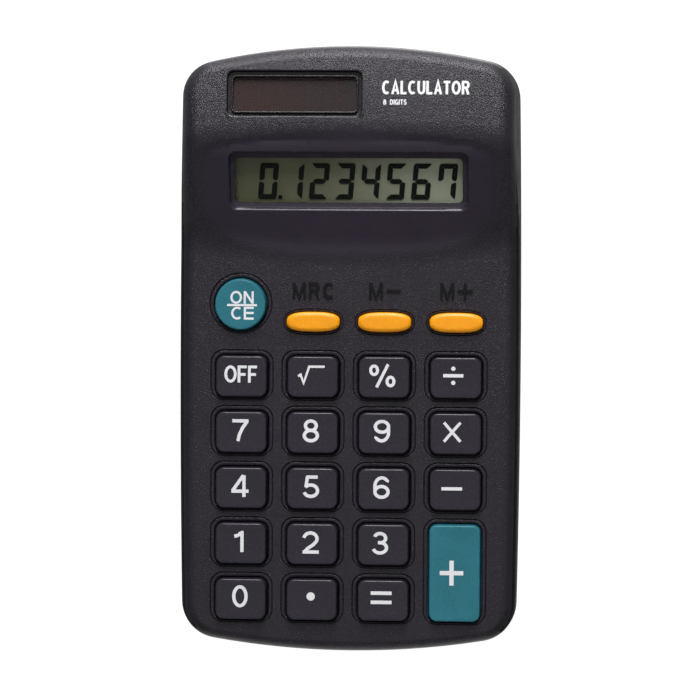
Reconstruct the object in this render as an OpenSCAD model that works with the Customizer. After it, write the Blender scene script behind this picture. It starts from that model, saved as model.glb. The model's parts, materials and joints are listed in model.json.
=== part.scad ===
// Pocket calculator with a raised, sloping display end, 23 sprung keys and one AA cell across that end.
// X runs across the keys, +Y towards the display end, +Z out of the keypad. The flat back lies at Z = 0.

/* [Case] */
// Width across the middle of the case
body_w = 64; // [62:0.5:70]
// Length from the bottom edge to the display end
body_l = 113.6; // [112:0.4:120]
// Thickness at the keypad
keypad_h = 12; // [11.6:0.1:13]
// Thickness at the crest above the display
crest_h = 20; // [19.6:0.1:21]
// Wall thickness of both covers
wall = 1.8; // [1.6:0.1:2]
// Radius of the rounded rims
rim_r = 2.4; // [2:0.1:3]
// Radius of the case's four corners in plan
corner_r = 7.4; // [6:0.2:9]
// Height of the seam between the covers
seam_z = 6; // [5.6:0.1:6.4]

/* [Keys] */
// Distance between key columns
key_pitch_x = 13.32; // [13:0.02:14]
// Distance between key rows
key_pitch_y = 10.42; // [10.2:0.02:10.8]
// Width of a key
key_w = 10; // [9:0.1:10.2]
// Height of a key in plan
key_h = 8.1; // [7:0.1:8.2]
// How far the keys stand out of the face
key_rise = 1.3; // [0.8:0.1:1.6]
// Gap all round a key in its opening
key_gap = 0.25; // [0.2:0.05:0.4]

/* [Display] */
// Width of the display opening at the face
display_w = 45.1; // [44:0.1:46]
// Height of the display opening, along the slope
display_h = 11.3; // [10:0.1:12]
// Width of the solar opening at the face
solar_w = 25.3; // [22:0.1:26]
// Height of the solar opening, along the slope
solar_h = 8.5; // [7:0.1:9]

/* [Battery] */
// Diameter of the cell
cell_d = 14.2; // [13.7:0.1:14.5]
// Length of the cell without its nub
cell_l = 49.5; // [48.5:0.1:49.5]

/* [Hidden] */
$fn = 48;
eps = 0.02;

// Case outline: radii of the display end, the bottom end and the bowed sides.
top_r = 122;
bottom_r = 153;
side_r = 2600;

// Top skin: where the keypad meets the slope, where the slope meets the crest, and how far both lines bow.
fold_y = 18.1;
fold_bow = 3.2;
crest_y = 39.7;
crest_bow = 2;
dish_h = crest_h - 0.6;
dish_x = [25, 28.5];
fall = tan(9.3);
slope_a = atan((dish_h - keypad_h) / (crest_y - fold_y));
fall_a = -9.3;

// Display and solar openings: their centres and how much they narrow through the wall.
display_y = 31.2;
display_taper = 1;
solar_x = -10.4;
solar_y = 47.7;
solar_taper = 0.75;
solar_skin = 0.9;
display_corner = 2;
solar_corner = 1.3;

// Key stack, from the board up: membrane sheet, dome, key flange, cover.
board_z = 6.6;
board_t = 1;
sheet_t = 0.6;
travel = 1;
pill_t = 0.4;
pill_r = 1.5;
dome_r = [3.2, 2.2];
dome_wall = 0.4;
flange = 0.6;
flange_z = keypad_h - wall - 1;
flange_t = 0.9;
key_top = keypad_h + key_rise;
key_corner = 1.7;
key_edge = 0.5;
running_gap = 0.05;

// Key centres: four columns, five rows, the round key and the three memory keys.
col = [for (i = [0 : 3]) (i - 1.5) * key_pitch_x];
row = [for (i = [0 : 4]) -5.06 - i * key_pitch_y];
on_at = [-20.25, 8.35];
on_d = 10;
memory_y = 5.1;
memory_h = 3.9;
memory_power = 2.6;

GRID_KEYS = [
    ["key_off", 0, 0], ["key_root", 1, 0], ["key_percent", 2, 0], ["key_divide", 3, 0],
    ["key_7", 0, 1], ["key_8", 1, 1], ["key_9", 2, 1], ["key_multiply", 3, 1],
    ["key_4", 0, 2], ["key_5", 1, 2], ["key_6", 2, 2], ["key_minus", 3, 2],
    ["key_1", 0, 3], ["key_2", 1, 3], ["key_3", 2, 3],
    ["key_0", 0, 4], ["key_point", 1, 4], ["key_equals", 2, 4]
];
MEMORY_KEYS = [["key_mrc", 1], ["key_m_minus", 2], ["key_m_plus", 3]];
plus_at = [col[3], (row[3] + row[4]) / 2];
plus_l = key_h + key_pitch_y;

dome_sites = concat(
    [for (k = GRID_KEYS) [col[k[1]], row[k[2]]]],
    [for (k = MEMORY_KEYS) [col[k[1]], memory_y]],
    [on_at, plus_at]
);

// Screws: two hold the bottom of the case, two its middle, five the board and two the display holder.
case_low = [for (s = [-1, 1]) [s * key_pitch_x, -52.2]];
case_high = [for (s = [-1, 1]) [s * 26.8, 15.8]];
case_sites = concat(case_low, case_high);
board_sites = concat(
    [for (s = [-1, 1], r = [0.5, 2.5]) [s * key_pitch_x, row[0] - r * key_pitch_y]],
    [[0, 10.5]]
);
holder_x = 26;
holder_v = -2;
case_screw = [0.75, 1.5, 1.1];
board_screw = [0.7, 1.35, 0.8];
holder_screw = [0.6, 1.2, 0.7];
thread_gap = 0.05;
head_seat = 2.2;

// Circuit board and membrane outlines.
board_half_w = 25.2;
board_y = [-50, 13.2];
tab_half_w = 20;
tab_y = 16.5;
membrane_top = 12.4;

// Display stack, as depths below the sloping face.
window_w = [-1.85, -2.65];
front_glass_w = [-2.7, -3.45];
rear_glass_w = [-3.45, -4.2];
reflector_w = [-4.2, -4.35];
holder_w = [-4.45, -5.4];
glass_half_w = 23.5;
glass_v = [-5.9, 5.8];
ledge_v = -7.5;

// Solar stack, as depths below the falling face.
solar_window_w = [-0.95, -1.55];
solar_cell_w = [-1.6, -2.5];

// Cell, its contacts and the bay.
cell_r = cell_d / 2;
cell_y = 44.5;
cell_z = 9.2;
cell_x = [-25.25, -25.25 + cell_l];
nub_r = 2.7;
nub_l = 1;
plate_t = 0.3;
plus_plate_x = cell_x[1] + nub_l + 0.2;
minus_plate_x = -28.4;
bay_wall_y = [36.2, 37.1];
bay_wall_z = 9;

// Battery door: the opening, the travel and the tongues that hold it.
door_half_w = 25.7;
door_y = 37.2;
door_end_z = 4.5;
door_gap = 0.15;
rail_z = [0.95, 1.65];
ledge_z = 0.8;
rail_reach = 0.7;
tongue_reach = 1.3;

// Free routes of the wires inside the case.
lead_r = 0.45;
red_route = [
    [26, 40.06, 9.8], [26, 35.4, 9.8], [26, 33.4, 4],
    [24.5, 22, 3.6], [17, 15, 3.6], [17, 15, 5.55]
];
black_route = [
    [-27.9, 40.06, 9.8], [-27.6, 35.4, 9.8], [-26.4, 33.4, 4],
    [-24.5, 22, 3.6], [-17, 15, 3.6], [-17, 15, 5.55]
];
solar_route = [
    [-21.5, 43.2, 16.55], [-25, 41, 16.2], [-25.8, 38.6, 14.9], [-25.8, 35.3, 10.4],
    [-25, 33.4, 5.2], [-22, 22, 5], [-13, 15, 5], [-13, 15, 5.55]
];
solar_lead_r = 0.3;
solar_lead_step = [0.9, 0, 0];

// ---- Outlines -----------------------------------------------------------------------------------

function arc(c, r, from, to, n, first = 0) =
    [for (i = [first : n]) let (a = from + (to - from) * i / n) [c[0] + r * cos(a), c[1] + r * sin(a)]];

// The crossing of circles p, a and q, b on the side that s picks.
function crossing(p, a, q, b, s) =
    let (d = norm(q - p), e = (q - p) / d, t = (a * a - b * b + d * d) / (2 * d), h = sqrt(a * a - t * t))
    p + t * e + s * h * [-e[1], e[0]];

function heading(from, to) = atan2(to[1] - from[1], to[0] - from[0]);

side_c = [body_w / 2 - side_r, 0];
top_c = [0, body_l / 2 - top_r];
bottom_c = [0, bottom_r - body_l / 2];
corner_top = crossing(side_c, side_r - corner_r, top_c, top_r - corner_r, 1);
corner_bottom = crossing(side_c, side_r - corner_r, bottom_c, bottom_r - corner_r, -1);

// Heights of the points along a side: close together where the skin folds and crests.
side_stations = concat(
    [for (y = [-32, -16, 0, 10]) y],
    [for (d = [-2, 0, 1.6, 3.2, 5]) fold_y + d],
    [for (t = [0.45, 0.7]) fold_y + t * (crest_y - fold_y)],
    [for (d = [-3, -2, -1, 0, 1.2, 3]) crest_y + d]
);

// Right half of the case outline, from the bottom middle to the top middle, drawn in by inset.
function half_outline(inset) =
    let (
        end_start = 0.4,
        bottom_a = heading(bottom_c, corner_bottom),
        low_a = heading(side_c, corner_bottom),
        high_a = heading(side_c, corner_top),
        top_a = heading(top_c, corner_top),
        reach = side_r - inset
    )
    concat(
        arc(bottom_c, bottom_r - inset, -90 + end_start, bottom_a, 4),
        arc(corner_bottom, corner_r - inset, bottom_a, low_a, 6, 1),
        [for (y = side_stations) [side_c[0] + sqrt(reach * reach - y * y), y]],
        arc(corner_top, corner_r - inset, high_a, top_a, 6),
        arc(top_c, top_r - inset, top_a, 90 - end_start, 4, 1)
    );

function mirrored(points) = [for (i = [len(points) - 1 : -1 : 0]) [-points[i][0], points[i][1]]];

function case_outline(inset) = let (half = half_outline(inset)) concat(half, mirrored(half));

function rounded_box(w, h, r, n = 5) =
    [for (q = [0 : 3], i = [0 : n])
        let (a = 90 * q + 90 * i / n, sx = (q == 0 || q == 3) ? 1 : -1, sy = q < 2 ? 1 : -1)
        [sx * (w / 2 - r) + r * cos(a), sy * (h / 2 - r) + r * sin(a)]];

// Oval with blunt ends: a superellipse.
function oval(w, h, power = memory_power, n = 28) =
    [for (i = [0 : n - 1])
        let (a = 360 * i / n, c = cos(a), s = sin(a))
        [w / 2 * sign(c) * pow(abs(c), 2 / power), h / 2 * sign(s) * pow(abs(s), 2 / power)]];

// ---- The top skin -------------------------------------------------------------------------------

function ease(t) = let (c = max(0, min(1, t))) c * c * (3 - 2 * c);

// Height of the outer face at a point: flat keypad, sloping dish between raised shoulders, then the falling end.
function skin_z(x, y) =
    let (
        across = pow(2 * x / body_w, 2),
        fold = fold_y + fold_bow * across,
        crest = crest_y - crest_bow * across,
        up = max(0, min(1, (y - fold) / (crest - fold))),
        shoulder = ease((abs(x) - dish_x[0]) / (dish_x[1] - dish_x[0])),
        top = dish_h + (crest_h - dish_h) * shoulder
    )
    y > crest ? crest_h - (y - crest) * fall : keypad_h + (top - keypad_h) * up;

// ---- Shared modules -----------------------------------------------------------------------------

// Solid through rings of equally many points, each at its own height.
module loft(rings, heights) {
    n = len(rings[0]);
    m = len(rings);
    polyhedron(
        points = [for (k = [0 : m - 1]) for (p = rings[k]) [p[0], p[1], heights[k]]],
        faces = concat(
            [[for (i = [0 : n - 1]) i]],
            [for (k = [0 : m - 2], i = [0 : n - 1])
                let (j = (i + 1) % n)
                [k * n + i, (k + 1) * n + i, (k + 1) * n + j, k * n + j]],
            [[for (i = [n - 1 : -1 : 0]) (m - 1) * n + i]]
        )
    );
}

module prism(points, z) {
    translate([0, 0, z[0]])
        linear_extrude(z[1] - z[0])
            polygon(points);
}

module block(x, y, z) {
    translate([x[0], y[0], z[0]])
        cube([x[1] - x[0], y[1] - y[0], z[1] - z[0]]);
}

// Puts children on the sloping display face, with Z along its normal.
module on_slope() {
    translate([0, display_y, keypad_h + (display_y - fold_y) * tan(slope_a)])
        rotate([slope_a, 0, 0])
            children();
}

// Puts children on the falling face at the solar cell, with Z along its normal.
module on_fall() {
    translate([solar_x, solar_y, crest_h - (solar_y - crest_y) * fall])
        rotate([fall_a, 0, 0])
            children();
}

// Pan-head screw, head down: size is [shank radius, head radius, head height].
module screw(size, length) {
    difference() {
        union() {
            cylinder(r = size[1], h = size[2]);
            translate([0, 0, size[2] - eps])
                cylinder(r = size[0], h = length - size[2] + eps);
        }
        for (a = [0, 90])
            rotate([0, 0, a])
                translate([0, 0, size[2] * 0.2])
                    cube([size[1] * 1.3, size[1] * 0.28, size[2] * 0.5], center = true);
    }
}

// Round wire along a list of points: each ring of the one before is carried along its leg onto the mitre plane.
module wire(route, r, sides = 10) {
    last = len(route) - 1;
    function leg(i) = (route[i + 1] - route[i]) / norm(route[i + 1] - route[i]);
    function mitre(i) = i == 0 ? leg(0) : i == last ? leg(last - 1) : leg(i - 1) + leg(i);
    across = cross(leg(0), [1, 0.3, 0.2]) / norm(cross(leg(0), [1, 0.3, 0.2]));
    up = cross(leg(0), across);
    start = [for (k = [0 : sides - 1])
        let (a = 360 * k / sides)
        route[0] + r * (cos(a) * across + sin(a) * up)];
    function ring(i) =
        i == 0 ? start : let (d = leg(i - 1), n = mitre(i))
            [for (p = ring(i - 1)) p + d * (n * (route[i] - p)) / (n * d)];
    polyhedron(
        points = [for (i = [0 : last]) each ring(i)],
        faces = concat(
            [[for (k = [0 : sides - 1]) k]],
            [for (i = [0 : last - 1], k = [0 : sides - 1])
                let (j = (k + 1) % sides)
                [i * sides + k, (i + 1) * sides + k, (i + 1) * sides + j, i * sides + j]],
            [[for (k = [sides - 1 : -1 : 0]) last * sides + k]]
        )
    );
}

// ---- Covers -------------------------------------------------------------------------------------

// Outer body of the front cover: the rim rolls from the side wall into the skin, ring by ring.
module front_body() {
    steps = 4;
    insets = [for (k = [0 : steps]) rim_r * (1 - cos(90 * k / steps))];
    drops = [for (k = [0 : steps]) rim_r * (1 - sin(90 * k / steps))];
    shares = [0.93, 0.86, 0.7, 0.5, 0.25, 0, -0.25, -0.5, -0.7, -0.86, -0.93];
    halves = [for (d = insets) half_outline(d)];
    rows = len(halves[0]);

    function rim(i, k, s) = let (p = halves[k][i]) [s * p[0], p[1], skin_z(p[0], p[1]) - drops[k]];
    function across(i) =
        let (p = halves[steps][i])
        concat(
            [[halves[0][i][0], halves[0][i][1], seam_z]],
            [for (k = [0 : steps]) rim(i, k, 1)],
            [for (t = shares) [p[0] * t, p[1], skin_z(p[0] * t, p[1])]],
            [for (k = [steps : -1 : 0]) rim(i, k, -1)],
            [[-halves[0][i][0], halves[0][i][1], seam_z]]
        );
    width = 2 * (steps + 2) + len(shares);
    last = (rows - 1) * width;
    polyhedron(
        points = [for (i = [0 : rows - 1]) each across(i)],
        faces = concat(
            [for (i = [0 : rows - 2], j = [0 : width - 2])
                [i * width + j, i * width + j + 1, (i + 1) * width + j + 1, (i + 1) * width + j]],
            [for (j = [0 : steps - 1]) [j, width - 1 - j, width - 2 - j, j + 1]],
            [[steps, for (j = [width - 1 - steps : -1 : steps + 1]) j]],
            [for (j = [0 : steps - 1]) [last + j, last + j + 1, last + width - 2 - j, last + width - 1 - j]],
            [[for (j = [steps : width - 1 - steps]) last + j]],
            [[for (i = [0 : rows - 1]) i * width, for (i = [rows - 1 : -1 : 0]) i * width + width - 1]]
        )
    );
}

module front_cavity() {
    prism(case_outline(wall), [seam_z - 1, keypad_h - wall]);
    prism(case_outline(wall * 0.55), [seam_z - 1, seam_z + 1.3]);
    thickness = wall / cos(slope_a);
    intersection() {
        prism(case_outline(wall + 0.3), [seam_z, crest_h]);
        rotate([90, 0, 90])
            translate([0, 0, -body_w / 2])
                linear_extrude(body_w)
                    polygon([
                        [fold_y + 1.5, seam_z], [fold_y + 1.5, keypad_h - thickness + 1.5 * tan(slope_a)],
                        [crest_y, dish_h - thickness],
                        [body_l / 2, crest_h - wall - 0.1 - (body_l / 2 - crest_y) * fall],
                        [body_l / 2, seam_z]
                    ]);
    }
}

module key_openings() {
    for (k = GRID_KEYS)
        translate([col[k[1]], row[k[2]], 0])
            prism(rounded_box(key_w + 2 * key_gap, key_h + 2 * key_gap, key_corner + key_gap), [seam_z, crest_h]);
    for (k = MEMORY_KEYS)
        translate([col[k[1]], memory_y, 0])
            prism(oval(key_w + 2 * key_gap, memory_h + 2 * key_gap), [seam_z, crest_h]);
    translate([on_at[0], on_at[1], seam_z])
        cylinder(d = on_d + 2 * key_gap, h = crest_h);
    translate([plus_at[0], plus_at[1], 0])
        prism(rounded_box(key_w + 2 * key_gap, plus_l + 2 * key_gap, key_corner + key_gap), [seam_z, crest_h]);
}

// Opening that narrows with depth, from its full size at the skin to taper less on each side under the wall.
module tapered_opening(w, h, r, taper) {
    loft(
        [rounded_box(w - 2 * taper, h - 2 * taper, r - taper / 2), rounded_box(w, h, r), rounded_box(w, h, r)],
        [-wall - 1, -0.15, 2]
    );
}

module front_bosses() {
    for (p = case_low)
        translate([p[0], p[1], seam_z + running_gap])
            cylinder(r = 1.7, h = keypad_h - wall - seam_z);
    for (p = case_high)
        translate([p[0], p[1], seam_z + running_gap])
            cylinder(r = 2, h = keypad_h - wall - seam_z);
    for (p = board_sites)
        translate([p[0], p[1], board_z])
            cylinder(r = 1.7, h = keypad_h - wall - board_z + 0.1);
    on_slope()
        for (s = [-1, 1])
            translate([s * holder_x, holder_v, holder_w[0]])
                cylinder(r = 1.6, h = -holder_w[0] - wall / 2);
}

module front_bores() {
    for (p = case_sites)
        translate([p[0], p[1], seam_z - 1])
            cylinder(r = case_screw[0] + thread_gap, h = 4.6);
    for (p = board_sites)
        translate([p[0], p[1], board_z - 1])
            cylinder(r = board_screw[0] + thread_gap, h = 3.9);
    on_slope()
        for (s = [-1, 1])
            translate([s * holder_x, holder_v, holder_w[0] - 1])
                cylinder(r = holder_screw[0] + thread_gap, h = 3.4);
}

module front_cover() {
    color([0.12, 0.11, 0.13])
        difference() {
            union() {
                difference() {
                    front_body();
                    front_cavity();
                }
                front_bosses();
            }
            key_openings();
            on_slope()
                tapered_opening(display_w, display_h, display_corner, display_taper);
            on_fall() {
                tapered_opening(solar_w, solar_h, solar_corner, solar_taper);
                prism(rounded_box(solar_w + 1, solar_h + 1, 1), [-wall - 1.2, -solar_skin]);
            }
            front_bores();
        }
}

// Outer body of the rear cover: flat base, rounded rim, straight wall up to the seam.
module rear_body() {
    steps = 4;
    loft(
        concat([for (k = [steps : -1 : 0]) case_outline(rim_r * (1 - cos(90 * k / steps)))], [case_outline(0)]),
        concat([for (k = [steps : -1 : 0]) rim_r * (1 - sin(90 * k / steps))], [seam_z])
    );
}

module rear_shell() {
    difference() {
        rear_body();
        prism(case_outline(wall), [wall, seam_z + 1]);
    }
}

// Room that the battery door fills, made larger all round by gap.
module door_room(gap) {
    block([-door_half_w - gap, door_half_w + gap], [door_y - gap, body_l], [-1, door_end_z + gap]);
}

// Grooves that the door's side rails run in, open at the end, and the rebate under its front tongue.
module door_grooves() {
    groove_z = [ledge_z, wall + 0.1];
    for (s = [-1, 1]) {
        x = s * (door_half_w + rail_reach / 2);
        block([x - rail_reach, x + rail_reach], [door_y, body_l], groove_z);
    }
    block([-door_half_w + 2, door_half_w - 2], [door_y - tongue_reach - 0.2, door_y + 1], groove_z);
}

module rear_cover() {
    color([0.11, 0.1, 0.12])
        difference() {
            union() {
                difference() {
                    rear_shell();
                    door_room(0);
                    door_grooves();
                }
                seam_lip();
                bay_walls();
                for (p = case_sites)
                    translate([p[0], p[1], wall - 0.1])
                        cylinder(r = p[1] < 0 ? 2.05 : 2.5, h = seam_z - wall + 0.1);
            }
            for (p = case_sites)
                translate([p[0], p[1], -1]) {
                    cylinder(r = case_screw[0] + 0.25, h = seam_z + 2);
                    cylinder(r = case_screw[1] + 0.25, h = 1 + head_seat);
                }
        }
}

// Raised lip that nests inside the front cover, open where the door's end wall and the bay need room.
module seam_lip() {
    difference() {
        prism(case_outline(wall * 0.55 + 0.1), [seam_z - 0.5, seam_z + 1.2]);
        prism(case_outline(wall), [seam_z - 1, seam_z + 2]);
    }
}

module bay_walls() {
    difference() {
        block([-29, 28], bay_wall_y, [wall - 0.1, bay_wall_z]);
        for (s = [-1, 1])
            block([s * 27 - 1.7, s * 27 + 1.7], [bay_wall_y[0] - 1, bay_wall_y[1] + 1], [8.2, bay_wall_z + 1]);
    }
    block([plus_plate_x + plate_t + 0.05, plus_plate_x + plate_t + 1.8], [41.4, 49], [wall - 0.1, 13.5]);
    block([minus_plate_x - 1, minus_plate_x - 0.05], [41.4, 47], [wall - 0.1, 13.5]);
    for (x = [-16, 16])
        block([x - 0.5, x + 0.5], [-30, 10], [wall - 0.1, board_z - board_t - 0.6]);
}

module battery_door() {
    grip = [-7, 7];
    grip_y = 44.6;
    grip_pitch = 1.3;
    color([0.11, 0.1, 0.12])
        difference() {
            union() {
                intersection() {
                    rear_shell();
                    door_room(-door_gap);
                }
                intersection() {
                    prism(case_outline(0.35), rail_z);
                    for (s = [-1, 1]) {
                        x = s * door_half_w;
                        block([x - rail_reach, x + rail_reach], [door_y + door_gap, body_l], rail_z);
                    }
                }
                block([-door_half_w + 2.4, door_half_w - 2.4], [door_y - tongue_reach, door_y + 1], rail_z);
            }
            for (i = [0 : 5])
                block(grip, [grip_y + i * grip_pitch, grip_y + (i + 0.46) * grip_pitch], [-1, 0.35]);
            prism([[-2.4, 40.6], [2.4, 40.6], [0, 43]], [-1, 0.3]);
        }
}

// ---- Display and solar --------------------------------------------------------------------------

module display_window() {
    color([0.85, 0.9, 0.88, 0.35])
        on_slope()
            prism(rounded_box(display_w + 1.4, display_h + 0.6, 1), [window_w[1], window_w[0]]);
}

module lcd_front_glass() {
    color([0.45, 0.5, 0.38])
        on_slope()
            block([-glass_half_w, glass_half_w], glass_v, [front_glass_w[1] + 0.01, front_glass_w[0]]);
}

module lcd_rear_glass() {
    color([0.42, 0.47, 0.36])
        on_slope()
            block([-glass_half_w, glass_half_w], [ledge_v, glass_v[1]], [rear_glass_w[1], rear_glass_w[0]]);
}

module lcd_reflector() {
    color([0.7, 0.72, 0.68])
        on_slope()
            block(
                [-glass_half_w + 0.5, glass_half_w - 0.5],
                [glass_v[0], glass_v[1] - 0.4],
                [reflector_w[1], reflector_w[0] - 0.01]
            );
}

module lcd_holder() {
    color([0.85, 0.85, 0.82])
        on_slope()
            difference() {
                union() {
                    block([-24, 24], [-5.6, 4.6], [holder_w[1], holder_w[0]]);
                    for (s = [-1, 1])
                        block([s * 25.6 - 2, s * 25.6 + 2], [holder_v - 2, holder_v + 2], [holder_w[1], holder_w[0] - 0.02]);
                }
                for (s = [-1, 1])
                    translate([s * holder_x, holder_v, holder_w[1] - 1])
                        cylinder(r = holder_screw[0] + 0.15, h = 3);
            }
}

module holder_screws() {
    color("silver")
        on_slope()
            for (s = [-1, 1])
                translate([s * holder_x, holder_v, holder_w[1] - holder_screw[2] - 0.02])
                    screw(holder_screw, 3.4);
}

// Flat flexible strip from the ledge of the rear glass down to the board.
module lcd_ribbon() {
    strip = [
        [13, board_z + 0.02], [15.8, board_z + 0.02], [17.5, 6.9], [19.5, 7.6],
        [22.5, 9.1], [25, 10.88], [26.2, 11.3]
    ];
    thickness = 0.14;
    color([0.75, 0.5, 0.2])
        rotate([90, 0, 90])
            translate([0, 0, -18])
                linear_extrude(36)
                    polygon(concat(strip, [for (i = [len(strip) - 1 : -1 : 0]) strip[i] + [0, thickness]]));
}

module solar_window() {
    color([0.5, 0.45, 0.45, 0.4])
        on_fall()
            prism(rounded_box(solar_w + 0.6, solar_h + 0.6, 0.8), [solar_window_w[1], solar_window_w[0]]);
}

module solar_cell() {
    color([0.2, 0.13, 0.13])
        on_fall()
            block(
                [-solar_w / 2 - 0.2, solar_w / 2 + 0.2],
                [-solar_h / 2 - 0.2, solar_h / 2 + 0.2],
                [solar_cell_w[1], solar_cell_w[0]]
            );
}

module solar_leads() {
    color([0.15, 0.3, 0.6])
        for (k = [0, 1])
            wire([for (p = solar_route) p + k * solar_lead_step], solar_lead_r);
}

// ---- Board, membrane and keys -------------------------------------------------------------------

module circuit_board() {
    color([0.1, 0.35, 0.2])
        difference() {
            prism(
                [[-board_half_w, board_y[0]], [board_half_w, board_y[0]], [board_half_w, board_y[1]],
                 [tab_half_w, board_y[1]], [tab_half_w, tab_y], [-tab_half_w, tab_y], [-tab_half_w, board_y[1]],
                 [-board_half_w, board_y[1]]],
                [board_z - board_t, board_z - 0.01]
            );
            for (p = board_sites)
                translate([p[0], p[1], board_z - board_t - 1])
                    cylinder(r = board_screw[0] + 0.2, h = 3);
        }
}

// Glob of black resin over the bare chip, under the board.
module controller_chip() {
    glob_r = 4.6;
    glob_h = 1.2;
    ball_r = (glob_r * glob_r + glob_h * glob_h) / (2 * glob_h);
    edge_a = asin(glob_r / ball_r);
    color([0.05, 0.05, 0.05])
        translate([0, -20, board_z - board_t - 0.02])
            rotate_extrude()
                polygon(concat([[0, 0]], arc([0, ball_r - glob_h], ball_r, edge_a - 90, -90, 6)));
}

module capacitor() {
    color([0.15, 0.2, 0.35])
        translate([8, 4, 3.8])
            rotate([0, 90, 0])
                cylinder(r = 1.65, h = 6.5);
}

// Rubber sheet with a hollow dome under each key.
module key_membrane() {
    dome_h = flange_z - running_gap - board_z;
    pill_top = board_z + travel + pill_t;
    color([0.6, 0.6, 0.58])
        difference() {
            union() {
                block([-board_half_w, board_half_w], [board_y[0], membrane_top], [board_z, board_z + sheet_t]);
                for (p = dome_sites)
                    translate([p[0], p[1], board_z + sheet_t - 0.1])
                        cylinder(r1 = dome_r[0], r2 = dome_r[1], h = dome_h - sheet_t + 0.1);
            }
            for (p = dome_sites)
                translate([p[0], p[1], board_z - 0.1])
                    cylinder(r1 = dome_r[0] - dome_wall + 0.1, r2 = pill_r + 0.01, h = pill_top - board_z + 0.1);
            for (p = board_sites)
                translate([p[0], p[1], board_z - 1])
                    cylinder(r = 1.8, h = 3);
        }
}

module contact_pills() {
    color([0.08, 0.08, 0.08])
        for (p = dome_sites)
            translate([p[0], p[1], board_z + travel])
                cylinder(r = pill_r - 0.1, h = pill_t - 0.02);
}

// Key with square plan: rounded top edge, and a flange that keeps it under the cover.
module box_key(at, w, h) {
    translate([at[0], at[1], 0]) {
        prism(rounded_box(w + 2 * flange, h + 2 * flange, key_corner + flange / 2), [flange_z, flange_z + flange_t]);
        loft(
            [rounded_box(w, h, key_corner), rounded_box(w - 0.1, h - 0.1, key_corner),
             rounded_box(w - key_edge, h - key_edge, key_corner - key_edge / 4),
             rounded_box(w - 2 * key_edge, h - 2 * key_edge, key_corner - key_edge / 2)],
            [flange_z + flange_t / 2, key_top - key_edge, key_top - key_edge * 0.2, key_top]
        );
    }
}

module oval_key(at) {
    translate([at[0], at[1], 0]) {
        prism(oval(key_w + 2 * flange, memory_h + 2 * flange), [flange_z, flange_z + flange_t]);
        loft(
            [oval(key_w, memory_h), oval(key_w - 0.1, memory_h - 0.1),
             oval(key_w - key_edge, memory_h - key_edge),
             oval(key_w - 2 * key_edge, memory_h - 2 * key_edge)],
            [flange_z + flange_t / 2, key_top - key_edge, key_top - key_edge * 0.2, key_top]
        );
    }
}

module key_on_ce() {
    r = on_d / 2;
    color([0.13, 0.45, 0.5])
        translate([on_at[0], on_at[1], 0])
            rotate_extrude()
                polygon(concat(
                    [[0, flange_z], [r + flange, flange_z], [r + flange, flange_z + flange_t], [r, flange_z + flange_t]],
                    arc([r - key_edge, key_top - key_edge], key_edge, 0, 90, 4),
                    [[0, key_top]]
                ));
}

module key_plus() {
    color([0.13, 0.45, 0.5])
        box_key(plus_at, key_w, plus_l);
}

module memory_key(i) {
    color([0.98, 0.63, 0.1])
        oval_key([col[i], memory_y]);
}

module grid_key(i, j) {
    color([0.13, 0.12, 0.14])
        box_key([col[i], row[j]], key_w, key_h);
}

module board_screws() {
    color("silver")
        for (p = board_sites)
            translate([p[0], p[1], board_z - board_t - board_screw[2] - 0.02])
                screw(board_screw, 4.2);
}

module case_screws() {
    color([0.3, 0.3, 0.32])
        for (p = case_sites)
            translate([p[0], p[1], head_seat - case_screw[2]])
                screw(case_screw, 7.6);
}

// ---- Power --------------------------------------------------------------------------------------

module battery() {
    color([0.15, 0.15, 0.17])
        translate([cell_x[0], cell_y, cell_z])
            rotate([0, 90, 0])
                union() {
                    cylinder(r = cell_r, h = cell_l);
                    translate([0, 0, cell_l - eps])
                        cylinder(r = nub_r, h = nub_l + eps);
                }
}

// Conical coil that presses on the flat end of the cell.
module battery_spring() {
    turns = 3;
    per_turn = 14;
    wire_r = 0.3;
    sides = 6;
    reach = [minus_plate_x + plate_t + wire_r + 0.02, cell_x[0] - wire_r - 0.02];
    count = turns * per_turn;
    function centre(i) =
        let (t = i / count, r = 4 - 1.8 * t, a = 360 * turns * t)
        [reach[0] + (reach[1] - reach[0]) * t, cell_y + r * cos(a), cell_z + r * sin(a)];
    function section(i) =
        let (c = centre(i), a = 360 * turns * i / count, out = [0, cos(a), sin(a)])
        [for (k = [0 : sides - 1]) let (b = 360 * k / sides) c + wire_r * (cos(b) * out + sin(b) * [1, 0, 0])];
    color("silver")
        polyhedron(
            points = [for (i = [0 : count]) each section(i)],
            faces = concat(
                [[for (k = [sides - 1 : -1 : 0]) k]],
                [for (i = [0 : count - 1], k = [0 : sides - 1])
                    let (j = (k + 1) % sides)
                    [i * sides + k, i * sides + j, (i + 1) * sides + j, (i + 1) * sides + k]],
                [[for (k = [0 : sides - 1]) count * sides + k]]
            )
        );
}

// Spring-steel plate with a folded tag for its wire.
module contact_plate(x, tag) {
    block([x, x + plate_t], [cell_y - 4.4, cell_y + 3.8], [cell_z - 4.4, cell_z + 4.2]);
    block([min(x, x + tag), max(x + plate_t, x + tag)], [cell_y - 4.4, cell_y - 4], [cell_z - 0.6, cell_z + 1.2]);
}

module positive_contact() {
    color("silver")
        contact_plate(plus_plate_x, 0.9);
}

module negative_contact() {
    color("silver")
        contact_plate(minus_plate_x, 0.9);
}

module red_lead() {
    color([0.75, 0.08, 0.06])
        wire(red_route, lead_r);
}

module black_lead() {
    color([0.05, 0.05, 0.05])
        wire(black_route, lead_r);
}

// ---- Nodes --------------------------------------------------------------------------------------

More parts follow.
